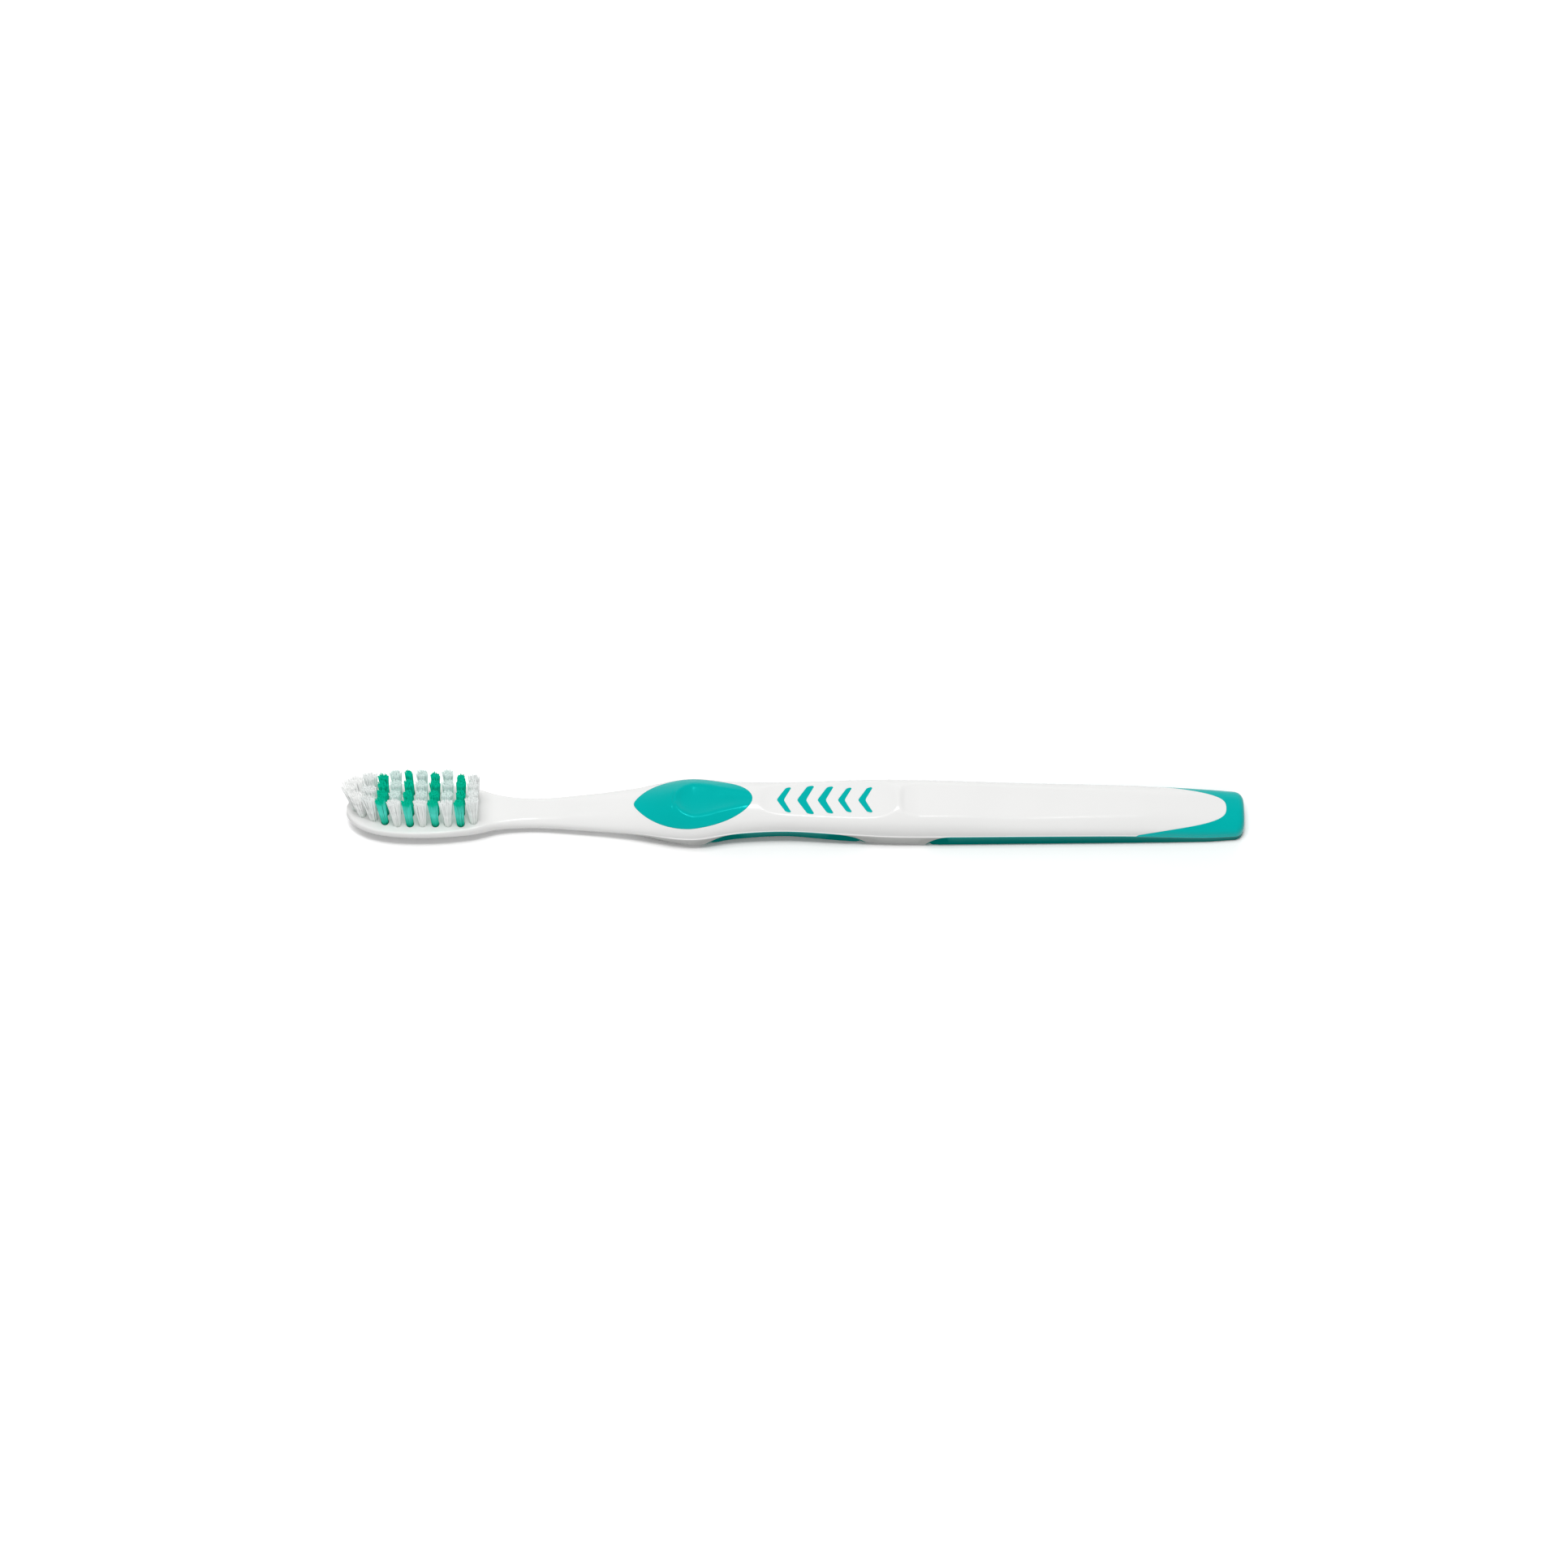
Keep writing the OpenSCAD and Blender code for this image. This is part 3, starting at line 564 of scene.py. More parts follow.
def soft_grip(name, s, solid_past=BRUSH_LEN + 1):
    """A soft grip as a closed shell: rings of the outline below the seam, closed inside by the wall
    that it shares with the white moulding. Past the given place it is solid right through."""
    s = np.unique(np.round(s, 4))
    sec = Sections(s)
    lower = np.minimum(sec.seam, sec.rim)
    under = spaced(0 * lower, lower, GRIP_UNDER_POINTS, near_end=CLOSE)
    over = spaced(lower, sec.seam, GRIP_OVER_POINTS, near_start=CLOSE, near_end=CLOSE)
    y, z = sec.point(np.concatenate([under, over[:, 1:]], axis=1))
    wall_y, wall_z = sec.inner()
    solid = (s > solid_past)[:, None]
    wall_y = np.where(solid, y[:, -1:], wall_y)
    wall_z = np.where(solid, z[:, -1:], wall_z)
    ring_y, ring_z = both_sides(np.concatenate([y, wall_y[:, 1:]], axis=1),
                                np.concatenate([z, wall_z[:, 1:]], axis=1))
    obj = weld_mesh(name, to_grid(s, ring_y, ring_z), caps=(len(s) - 1,) if solid.any() else ())
    outward(obj)
    return obj


def surface_height(s, y):
    """The handle's upper surface above a point of the table, without the pad or the chevrons: the
    upper superellipse solved for its height, then cut down to the flats."""
    w, top, rim, p = half_width(s), top_z(s), rim_height(s), upper_power(s)
    return flatten(s, rim + (top - rim) * np.clip(1 - np.abs(y / w) ** p, 0, 1) ** (1 / p))


# The thumb pad: a lens in plan, with a shallow teardrop for the thumb
PAD_LEN = 25.1
PAD_W = 11.7
PAD_PROUD = 0.12
PAD_EDGE_R = 0.3
PAD_DEPTH = 3.0
PAD_START = SWELL_AT - 0.507 * PAD_LEN
PAD_WIDEST_SHARE = 0.48
PAD_FRONT_NARROWING = 0.72
PAD_FRONT_POWER = 2
PAD_REAR_NARROWING = 0.57
PAD_REAR_POWER = 1.6
PAD_BLUNT_POWER = 8
PAD_RINGS = 240
PAD_POINTS = 124
PAD_FLOOR_STRIDE = 6
RECESS_RISE = 2.0
SCOOP_START = 69.0
SCOOP_END = 87.1
scoop_half = Curve([(0, 0), (69.3, 0), (70.2, 1.7), (71.7, 3.1), (73.6, 3.75), (75.7, 3.5), (79.1, 2.6),
                    (82.5, 1.7), (85.1, 0.85), (86.9, 0), (BRUSH_LEN, 0)])
SCOOP_HOLLOW = 0.5
SCOOP_FULL_HALF = 2.4
SCOOP_LEAST_HALF = 0.25
SCOOP_EDGE = 0.55


def pad_half(s):
    """Half width of the lens. Both ways from its widest place it narrows with a power of the share of
    the way to the end, and each end is made blunt by the root of one less a high power."""
    along = (s - PAD_START) / PAD_LEN
    front = along < PAD_WIDEST_SHARE
    t = np.clip(np.where(front, (PAD_WIDEST_SHARE - along) / PAD_WIDEST_SHARE,
                         (along - PAD_WIDEST_SHARE) / (1 - PAD_WIDEST_SHARE)), 0, 1)
    narrowing = np.where(front, PAD_FRONT_NARROWING * t ** PAD_FRONT_POWER,
                         PAD_REAR_NARROWING * t ** PAD_REAR_POWER)
    return PAD_W / 2 * (1 - narrowing) * np.sqrt(np.clip(1 - t ** PAD_BLUNT_POWER, 0, 1))


def pad_height(s, y):
    """The pad's surface: the swell's crown, cut by the teardrop, whose floor is level with the crown
    at its own edges and a little hollow between them."""
    crown_z = surface_height(s, y)
    half = scoop_half(s)
    wide = np.maximum(half, SCOOP_LEAST_HALF)
    hollow = SCOOP_HOLLOW * np.minimum(half / SCOOP_FULL_HALF, 1) * (1 - (y / wide) ** 2)
    in_scoop = (s > SCOOP_START) & (s < SCOOP_END)
    floor_z = np.where(in_scoop, surface_height(s, half) - hollow, CLEAR_ABOVE)
    return soft_min(crown_z, floor_z, SCOOP_EDGE)


def lens_pad(name, above):
    """The pad's closed form, as a ring for each place along it: the top from side to side, then
    the floor back. `above` gives the top's height from place, y and the distance from the edge.
    Rings and points stand closer towards the edge, by a cosine and a sine of even steps."""
    t = (1 - np.cos(np.linspace(0, math.pi, PAD_RINGS))) / 2
    s = PAD_START + PAD_LEN * t
    v = np.sin(np.linspace(-math.pi / 2, math.pi / 2, PAD_POINTS))
    half = pad_half(s)[:, None]
    y = half * v[None, :]
    top = above(s[:, None], y, half * (1 - np.abs(v))[None, :])
    back_y = y[:, ::-PAD_FLOOR_STRIDE]
    floor_z = surface_height(s[:, None], 0 * back_y) - PAD_DEPTH
    ring_y, ring_z = np.concatenate([y, back_y], axis=1), np.concatenate([top, floor_z], axis=1)
    obj = weld_mesh(name, to_grid(s, ring_y, ring_z))
    outward(obj)
    return obj


EDGE_SUNK_SHARE = 0.3


def rounded_rise(d, proud, r):
    """How far an inlay stands above its recess at a distance d from its edge: a quarter round, whose
    edge starts a little below the recess's own."""
    quarter = np.sqrt(1 - (1 - np.clip(d / r, 0, 1)) ** 2)
    return proud * (1 + EDGE_SUNK_SHARE) * quarter - EDGE_SUNK_SHARE * proud


def thumb_pad():
    """The pad's lens, dished for the thumb and proud of the white with a rounded edge."""
    return lens_pad("thumb_pad_soft",
                    lambda s, y, d: pad_height(s, y) + rounded_rise(d, PAD_PROUD, PAD_EDGE_R))


def pad_recess():
    """What is cut out of the moulding for the pad: its lens, from its floor to above the crown."""
    return lens_pad("pad_recess", lambda s, y, d: surface_height(s, y) + RECESS_RISE)


# The chevrons on the panel
CHEVRON_SPAN = 6.0
CHEVRON_T = 1.6
CHEVRON_SWEEP = 2.1
CHEVRON_PITCH = 4.29
CHEVRON_FIRST = WAIST_AT - 0.054 * PANEL_LEN
CHEVRON_WEIGHTS = (0.95, 1.2, 1.1, 0.92, 0.96)
CHEVRON_PROUD = 0.1
CHEVRON_DEPTH = 0.8
CHEVRON_RECESS_RISE = 1.0
CHEVRON_NOSE_R = 0.2
CHEVRON_TAPER = 0.24
CHEVRON_ARM_ROUND = 0.34
CHEVRON_ARM_SHIFT = 0.18
CHEVRON_EDGE_R = 0.22
CHEVRON_RINGS = 81
CHEVRON_POINTS = 25
CHEVRON_FLOOR_STRIDE = 2


def chevron(name, i, rise=0):
    """One chevron as a swept bar: a ring for each place across it, from its front edge to its back
    edge and back along its floor. The front edge is a hyperbola in plan, which sweeps back with the
    distance from the middle. The arms taper outwards and end round. The top stands proud of the
    panel with a rounded edge, or at the given rise where the form is for the recess."""
    weight = CHEVRON_WEIGHTS[i]
    half = CHEVRON_SPAN / 2 * (0.5 + 0.5 * weight)
    y = half * np.sin(np.linspace(-math.pi / 2, math.pi / 2, CHEVRON_RINGS))[:, None]
    bend = np.sqrt(y * y + CHEVRON_NOSE_R ** 2) - CHEVRON_NOSE_R
    front = CHEVRON_FIRST + i * CHEVRON_PITCH + CHEVRON_SWEEP * bend / (CHEVRON_SPAN / 2)
    width = CHEVRON_T * weight * (1 - CHEVRON_TAPER * np.abs(y) / half)
    end = np.clip((half - np.abs(y)) / CHEVRON_ARM_ROUND, 0, 1)
    round_share = np.sqrt(1 - (1 - end) ** 2)
    p = (1 - np.cos(np.linspace(0, math.pi, CHEVRON_POINTS)[None, :])) / 2
    middle = front + width * (0.5 + CHEVRON_ARM_SHIFT * (1 - round_share))
    s = middle + (p - 0.5) * width * round_share
    d = np.minimum(p, 1 - p) * width * round_share
    top = surface_height(s, y) + (rise if rise else rounded_rise(d, CHEVRON_PROUD, CHEVRON_EDGE_R))
    back = s[:, ::-CHEVRON_FLOOR_STRIDE]
    ring_s = np.concatenate([s, back], axis=1)
    ring_z = np.concatenate([top, surface_height(back, y) - CHEVRON_DEPTH], axis=1)
    ring = np.stack([ring_s - BRUSH_LEN / 2, np.broadcast_to(y, ring_s.shape), ring_z], axis=-1)
    obj = weld_mesh(name, ring)
    outward(obj)
    return obj


# The tufts: how many stand in each column and how its rows spread, where the columns stand behind
# the first one, in pitches, and how far the tips lean, in millimetres
COLUMN_COUNTS = (1, 2, 3) + (4,) * 8
ROW_SPREADS = (1, 1.12, 0.95, 0.86, 1, 1, 1, 1, 1, 1, 0.84)
COLUMN_BACKS = (0, 0.49, 1.38, 2.28, 3.26, 4.26, 5.26, 6.26, 7.26, 8.26, 9.26)
GREEN_COLUMNS = (4, 6, 8, 10)
FIRST_TUFT_AT = 2.1
COLUMN_PITCH = 2.68
ROW_PITCH = 2.4
HOLE_R = 0.85
HOLE_DEPTH = 2.5
HOLE_SIDES = 24
HOLE_OVERRUN = 1
TRIM_TOP_Z = HEAD_FACE_Z + 9.8
TIP_LEANS = (-1.3, -0.8, -0.5, -0.15, 0.0, 0.0, 0.15, 0.2, 0.3, 0.35, 0.35)
ROW_LEANS = (-0.22, 0.05, 0.14, 0.1)
INWARD_LEANS = (0.4, 0.0, 0.05, 0.0)
FAR_ROW_LEANS = (0.8, 0.75, 0.75, -0.3, 0, 0, 0, -0.5, 0, -0.9, -0.5)
FAR_GREEN_TIPS = {3: 1.15, 7: 0.95}
FILAMENTS = 52
FILAMENT_R = 0.115
FILAMENT_SIDES = 6
FILAMENT_RISE = np.array([0, 0.2, 0.45, 0.7, 0.9, 0.988, 1.0])
FILAMENT_TAPER = np.array([1, 1, 1, 1, 1, 0.98, 0.72])
ROOT_DEPTH = 1.6
ROOT_PLAY = 0.01
SUNFLOWER_TURN = 2.39996
FULL_TURN = 6.28
FAN_POWER = 1.35
TRIM_PLAY = 0.02
TRIM_UNEVEN = 0.08
LEAN_PLAY = (0.08, 0.06)
LOOSE_TIPS = 0.085
BOW = 0.05
LIGHT_LEAN = 0.9
TIP_LIGHT_LEAN = 3.0
ON_EDGE = 0.01


def tuft_places():
    """Every tuft as (column, row letter, s, y), from the tip back and from the near side across."""
    for c, count in enumerate(COLUMN_COUNTS):
        for r in range(count):
            yield c, "abcd"[r], FIRST_TUFT_AT + COLUMN_PITCH * COLUMN_BACKS[c], (
                ROW_PITCH * ROW_SPREADS[c] * (r - (count - 1) / 2))


def tip_spread(c, near, far):
    """Half the spread of a tuft's tips along the brush and across it, by its column and row."""
    if c + 1 in GREEN_COLUMNS:
        along = 0.96 if near else FAR_GREEN_TIPS.get(c, 0.8) if far else 1.02
        return along, 0.72 if near or far else 0.86
    along = 1.65 if c in (1, 2) else 1.5 if near else 1.22
    return along, 1.4 if c == 0 else 0.78


def filaments(name, c, s0, y0, seed):
    """A tuft: thin rods that stand in a sunflower pattern in the hole and fan out as they rise.

    A rod's middle goes from its root to its tip along a fan, which grows as a power of the height,
    plus a slight bow, which is a parabola of the height. Its tip is trimmed flat. The shading
    normals lean upwards, because clear nylon passes on the light that falls on it from above."""
    rng = np.random.default_rng(seed)
    i = np.arange(FILAMENTS)
    r = np.sqrt((i + 0.5) / FILAMENTS)
    a = i * SUNFLOWER_TURN + rng.uniform(0, FULL_TURN)
    px, py = (r * np.cos(a))[:, None], (r * np.sin(a))[:, None]
    root_r = HOLE_R - FILAMENT_R - ROOT_PLAY
    row = int(round(y0 / ROW_PITCH + 1.5))
    outer = 0 if c == 0 else ROW_PITCH * ROW_SPREADS[c] * (COLUMN_COUNTS[c] - 1) / 2
    near = y0 < ON_EDGE - outer
    far = y0 > outer - ON_EDGE
    tip_x, tip_y = tip_spread(c, near, far)
    lean_x = TIP_LEANS[c] + ROW_LEANS[row] + rng.uniform(-LEAN_PLAY[0], LEAN_PLAY[0])
    lean_y = INWARD_LEANS[row] + (FAR_ROW_LEANS[c] if far else 0)
    lean_y += rng.uniform(-LEAN_PLAY[1], LEAN_PLAY[1])
    loose = rng.normal(0, LOOSE_TIPS, (2, FILAMENTS, 1))
    bow = rng.normal(0, BOW, (2, FILAMENTS, 1))
    top_z = TRIM_TOP_Z - TRIM_PLAY - np.abs(rng.normal(0, TRIM_UNEVEN, FILAMENTS))
    root_z = HEAD_FACE_Z - ROOT_DEPTH
    h = FILAMENT_RISE[None, :]
    fan = h ** FAN_POWER
    arch = 4 * h * (1 - h)
    x = s0 + px * (root_r + (tip_x - root_r) * fan) + (lean_x + loose[0]) * fan + bow[0] * arch
    y = y0 + py * (root_r + (tip_y - root_r) * fan) + (lean_y + loose[1]) * fan + bow[1] * arch
    z = root_z + (top_z - root_z)[:, None] * h
    turn = np.arange(FILAMENT_SIDES) * 2 * math.pi / FILAMENT_SIDES
    radius = FILAMENT_R * FILAMENT_TAPER[None, :, None]
    ring = np.stack([
        x[:, :, None] - BRUSH_LEN / 2 + radius * np.cos(turn),
        y[:, :, None] + radius * np.sin(turn),
        np.broadcast_to(z[:, :, None], x.shape + (FILAMENT_SIDES,)),
    ], axis=-1)
    count, rings, sides = ring.shape[:3]
    index = np.arange(count * rings * sides).reshape(count, rings, sides)
    nxt = np.roll(index, -1, axis=2)
    quads = np.stack([index[:, :-1], nxt[:, :-1], nxt[:, 1:], index[:, 1:]], axis=-1).reshape(-1, 4)
    ends = np.concatenate([index[:, 0, ::-1], index[:, -1]])
    mesh = bpy.data.meshes.new(name)
    mesh.from_pydata((ring.reshape(-1, 3) * MM).tolist(), [], quads.tolist() + ends.tolist())
    mesh.shade_smooth()
    lift = np.where(FILAMENT_RISE < 1, LIGHT_LEAN, TIP_LIGHT_LEAN)[None, :, None]
    normal = np.stack(np.broadcast_arrays(np.cos(turn), np.sin(turn), lift), axis=-1)
    normal = np.broadcast_to(normal / np.linalg.norm(normal, axis=-1, keepdims=True), ring.shape)
    mesh.normals_split_custom_set_from_vertices(normal.reshape(-1, 3).tolist())
    obj = bpy.data.objects.new(name, mesh)
    bpy.context.scene.collection.objects.link(obj)
    return obj


def hole_cutters():
    """The tuft holes in one mesh: a closed cylinder about each tuft's place, as a ring of points at
    its floor and one above the head's face."""
    turn = np.arange(HOLE_SIDES) * 2 * math.pi / HOLE_SIDES
    points, faces = [], []
    for _, _, s0, y0 in tuft_places():
        floor_ring = len(points) * HOLE_SIDES + np.arange(HOLE_SIDES)
        top_ring = floor_ring + HOLE_SIDES
        for z in (HEAD_FACE_Z - HOLE_DEPTH, HEAD_FACE_Z + HOLE_OVERRUN):
            points.append(np.stack([s0 - BRUSH_LEN / 2 + HOLE_R * np.cos(turn), y0 + HOLE_R * np.sin(turn),
                                    np.full(HOLE_SIDES, z)], axis=-1))
        walls = np.stack([floor_ring, np.roll(floor_ring, -1), np.roll(top_ring, -1), top_ring], axis=-1)
        faces += [floor_ring[::-1].tolist(), top_ring.tolist()] + walls.tolist()
    mesh = bpy.data.meshes.new("tuft_holes")
    mesh.from_pydata((np.concatenate(points) * MM).tolist(), [], faces)
    obj = bpy.data.objects.new("tuft_holes", mesh)
    bpy.context.scene.collection.objects.link(obj)
    return obj


def cut_out(obj, cutters):
    """Takes the cutters' forms out of a piece, and the cutters away."""
    for cutter in cutters:
        change = obj.modifiers.new("recess", "BOOLEAN")
        change.operation = "DIFFERENCE"
        change.solver = "MANIFOLD"
        change.object = cutter
    bpy.context.view_layer.update()
    cut = bpy.data.meshes.new_from_object(obj.evaluated_get(bpy.context.evaluated_depsgraph_get()))
    obj.modifiers.clear()
    obj.data = cut
    for cutter in cutters:
        bpy.data.objects.remove(cutter)


class Socket:
    """A socket of a material's nodes. Operators on it add Math nodes, and `node` adds any other."""

    def __init__(self, tree, out):
        self.tree, self.out = tree, out

    def node(self, kind, settings=None, values=None, output=0):
        """Adds a node: its settings first, then the values or links of its sockets."""
        made = self.tree.nodes.new(kind)
        for key, value in (settings or {}).items():
            if key == "stops":
                ramp = made.color_ramp
                while len(ramp.elements) < len(value):
                    ramp.elements.new(0.5)
                for element, (place, colour) in zip(ramp.elements, value):
                    element.position, element.color = place, (*colour, 1)
            else:
                setattr(made, key, value)
        for key, value in (values or {}).items():
            if isinstance(value, Socket):
                self.tree.links.new(value.out, made.inputs[key])
            else:
                made.inputs[key].default_value = value
        return Socket(self.tree, made.outputs[output] if made.outputs else None)

    def maths(self, operation, a, b):
        """Adds a Math node for two values or sockets."""
        return self.node("ShaderNodeMath", {"operation": operation}, {0: a, 1: b})

    def __add__(self, other):
        return self.maths("ADD", self, other)

    def __sub__(self, other):
        return self.maths("SUBTRACT", self, other)

    def __rsub__(self, other):
        return self.maths("SUBTRACT", other, self)

    def __mul__(self, other):
        return self.maths("MULTIPLY", self, other)

    def __truediv__(self, other):
        return self.maths("DIVIDE", self, other)

    def __rtruediv__(self, other):
        return self.maths("DIVIDE", other, self)

    __radd__ = __add__
    __rmul__ = __mul__

    def clamped(self):
        """The same value, kept between 0 and 1."""
        return self.maths("MINIMUM", self.maths("MAXIMUM", self, 0.0), 1.0)

    def blend(self, first, second):
        """The first colour where this is 0 and the second where it is 1."""
        return self.node("ShaderNodeMix", {"data_type": "RGBA"}, {0: self, 6: first, 7: second}, output=2)


def colour(text):
    """A linear colour from its six display digits, by the curve of the sRGB standard."""
    parts = [int(text[k:k + 2], 16) / 255 for k in (0, 2, 4)]
    return (*[p / 12.92 if p <= 0.04045 else ((p + 0.055) / 1.055) ** 2.4 for p in parts], 1.0)


def material(name):
    """An empty node material, with the start of its tree."""
    mat = bpy.data.materials.new(name)
    mat.use_nodes = True
    mat.node_tree.nodes.clear()
    return mat, Socket(mat.node_tree, None)


def finished(start, shader):
    """Joins a shader to the material's output."""
    start.node("ShaderNodeOutputMaterial", values={"Surface": shader})


def place(start):
    """Object coordinates, in metres."""
    return start.node("ShaderNodeTexCoord", output=3)


def noise(start, where, size, detail=2.0):
    """Even noise from 0 to 1 with features of about the given size in millimetres."""
    return start.node("ShaderNodeTexNoise", values={
        "Vector": where, "Scale": 1 / (size * MM), "Detail": detail})


def bump(start, height, strength, distance):
    """A normal that follows a height from 0 to 1, which stands for a distance in millimetres."""
    return start.node("ShaderNodeBump", values={
        "Height": height, "Strength": strength, "Distance": distance * MM})


def white_polypropylene():
    """Glossy white moulding: a broad faint change of shade, a fine ripple, gloss that varies a little,
    and painted shade below the rim, where the colour turns to a darker grey for the shadow there."""
    mat, n = material("white_polypropylene_gloss")
    where = place(n)
    broad = noise(n, where, 14)
    fine = noise(n, where, 0.8, 3)
    # Painted shade: below the rim the white turns to a darker grey, for the shadow there
    base = under_rim(n).blend(broad.blend(colour("f0f0ef"), colour("f4f4f3")), colour("a4a6a3"))
    rough = 0.19 + 0.07 * noise(n, where, 3)
    normal = bump(n, fine, 0.05, 0.01)
    finished(n, n.node("ShaderNodeBsdfPrincipled", values={
        "Base Color": base, "Roughness": rough, "Normal": normal, "IOR": 1.49}))
    return mat


def teal_rubber():
    """Satin soft rubber: a fine grain, a faint change of shade along it, and painted shade below the
    rim: one dark matt teal there stands in for the shadow on the back."""
    mat, n = material("teal_rubber_satin")
    where = place(n)
    base = noise(n, where, 6).blend(colour("00aea9"), colour("00b5b1"))
    rough = 0.17 + 0.07 * noise(n, where, 1.5)
    normal = bump(n, noise(n, where, 0.16), 0.12, 0.01)
    face = n.node("ShaderNodeBsdfPrincipled", values={
        "Base Color": base, "Roughness": rough, "Normal": normal, "IOR": 1.5,
        "Specular IOR Level": 0.5, "Specular Tint": (0.05, 1.0, 1.0, 1.0)})
    # Painted shade: one dark matt teal below the rim, for the shadow on the grips' back
    back = n.node("ShaderNodeBsdfDiffuse", values={"Color": colour("00756e"), "Normal": normal})
    finished(n, n.node("ShaderNodeMixShader", values={0: under_rim(n), 1: face, 2: back}))
    return mat


def height_share(n, where):
    """How far up the bristles a point is: 0 at the head's face and 1 at the trimmed tips."""
    z = n.node("ShaderNodeSeparateXYZ", values={0: where}, output=2)
    return ((z - HEAD_FACE_Z * MM) / ((TRIM_TOP_Z - HEAD_FACE_Z) * MM)).clamped()


def nylon(name, shades, gloss):
    """Nylon filaments: shades from root to tip, each at its share of the height, blended with a slight
    unevenness, a roughness that varies a little, and the given values of the gloss."""
    mat, n = material(name)
    where = place(n)
    along = height_share(n, where) + 0.08 * (noise(n, where, 0.5) - 0.5)
    stops = tuple((share, colour(shade)[:3]) for share, shade in shades)
    base = n.node("ShaderNodeValToRGB", {"stops": stops}, {0: along})
    finished(n, n.node("ShaderNodeBsdfPrincipled", values={
        "Base Color": base, "Roughness": 0.3 + 0.1 * noise(n, where, 0.3), "IOR": 1.53, **gloss}))
    return mat


def green_nylon(name, low, middle, high):
    """Green filaments: dark at the root, a painted shade deep in the tuft, then of the given three
    shades along the sides, paler than the tips as a painted sheen, and deep green at the tips.
    """
    # Painted light: the dark root is shade inside the tuft and the paler sides are sheen
    shades = ((0.0, "067a5c"), (0.14, low), (0.5, middle), (0.85, high),
              (0.94, "00c4a0"), (1.0, "00bc9a"))
    return nylon(name, shades, {"Specular IOR Level": 0.25, "Specular Tint": (0.1, 1.0, 0.8, 1.0)})


def white_nylon(name, low, high, tip):
    """Clear white filaments: a little darker and greener at the root, a painted shade deep in the tuft,
    then of the given three shades up the sides. Some copies hold painted light in those shades: a
    little green for the light that green tufts pass on, or brighter for tufts that are lit more."""
    # Painted shade: the greyer root stands in for the shade inside the tuft
    return nylon(name, ((0.0, "d6ded9"), (0.3, low), (0.9, high), (1.0, tip)), {})


def brass_wire():
    """Drawn brass: rolled streaks along the strip and slight tarnish."""
    mat, n = material("brass_wire_rolled")
    where = place(n)
    tarnish = noise(n, where, 0.9, 3)
    stretched = n.node("ShaderNodeMapping", values={"Vector": where, "Scale": (1, 12, 1)})
    streaks = noise(n, stretched, 0.6)
    finished(n, n.node("ShaderNodeBsdfPrincipled", values={
        "Base Color": tarnish.blend(colour("d9bd7a"), colour("b08d4a")), "Metallic": 1.0,
        "Roughness": 0.25 + 0.2 * streaks, "Normal": bump(n, streaks, 0.2, 0.01)}))
    return mat


UNDER_RIM_START = 0.06
UNDER_RIM_BAND = 0.4


def mark_painted_rim_shade(obj):
    """Stores on each point the share of painted shade under the rim, by how far it lies below the rim
    of the handle: 0 at the rim and above, 1 from about half a millimetre below it, and 0 along the
    head and neck, which have no rim step."""
    count = len(obj.data.vertices)
    flat = np.empty(count * 3)
    obj.data.vertices.foreach_get("co", flat)
    x, _, z = flat.reshape(-1, 3).T / MM
    s = np.clip(x + BRUSH_LEN / 2, 0, BRUSH_LEN)
    share = np.clip((rim_height(s) - z - UNDER_RIM_START) / UNDER_RIM_BAND, 0, 1)
    share *= np.clip(rim_share(s) * 2, 0, 1)
    obj.data.attributes.new("under_rim", "FLOAT", "POINT").data.foreach_set("value", share)


def under_rim(n):
    """The share of painted shade under the rim, as stored on the points."""
    return n.node("ShaderNodeAttribute", {"attribute_name": "under_rim"}, output=2)


def dress(obj, mat):
    """Gives a piece one material, and no other."""
    obj.data.materials.clear()
    obj.data.materials.append(mat)


def in_the_set(obj, mat, slot, *nodes):
    """Gives a piece its material, ties it to the body and hides the nodes that it stands for. The
    record's slot is not used."""
    dress(obj, mat)
    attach(obj, "root")
    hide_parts(*nodes)


# Camera: the photograph's viewing angle, with the focal length in pixels of a square picture
VIEW_ELEVATION = math.radians(64)
VIEW_DISTANCE = 1.039
VIEW_TARGET = (-0.00247, 0.00834)
SENSOR_W = 36
FOCAL_PIXELS = 6000
PICTURE_PIXELS = 1932
cam = bpy.data.cameras.new("camera")
cam.sensor_width = SENSOR_W
cam.lens = SENSOR_W / 2 * FOCAL_PIXELS / (PICTURE_PIXELS / 2)
eye = bpy.data.objects.new("camera", cam)
eye.location = (VIEW_TARGET[0], VIEW_TARGET[1] - VIEW_DISTANCE * math.cos(VIEW_ELEVATION),
                VIEW_DISTANCE * math.sin(VIEW_ELEVATION))
eye.rotation_euler = (math.pi / 2 - VIEW_ELEVATION, 0, 0)
bpy.context.scene.collection.objects.link(eye)
bpy.context.scene.camera = eye
bpy.context.scene.view_settings.view_transform = "Standard"


def ray(n, kind):
    """1 for rays of the given kind and 0 for others."""
    return n.node("ShaderNodeLightPath", output=f"Is {kind} Ray")


FLOOR_SEEN = 1.18
FLOOR_MIRRORED = 1.0
FLOOR_BOUNCE = 0.44
FLOOR_REACH = 3.0
FLOOR_Z = -2e-5


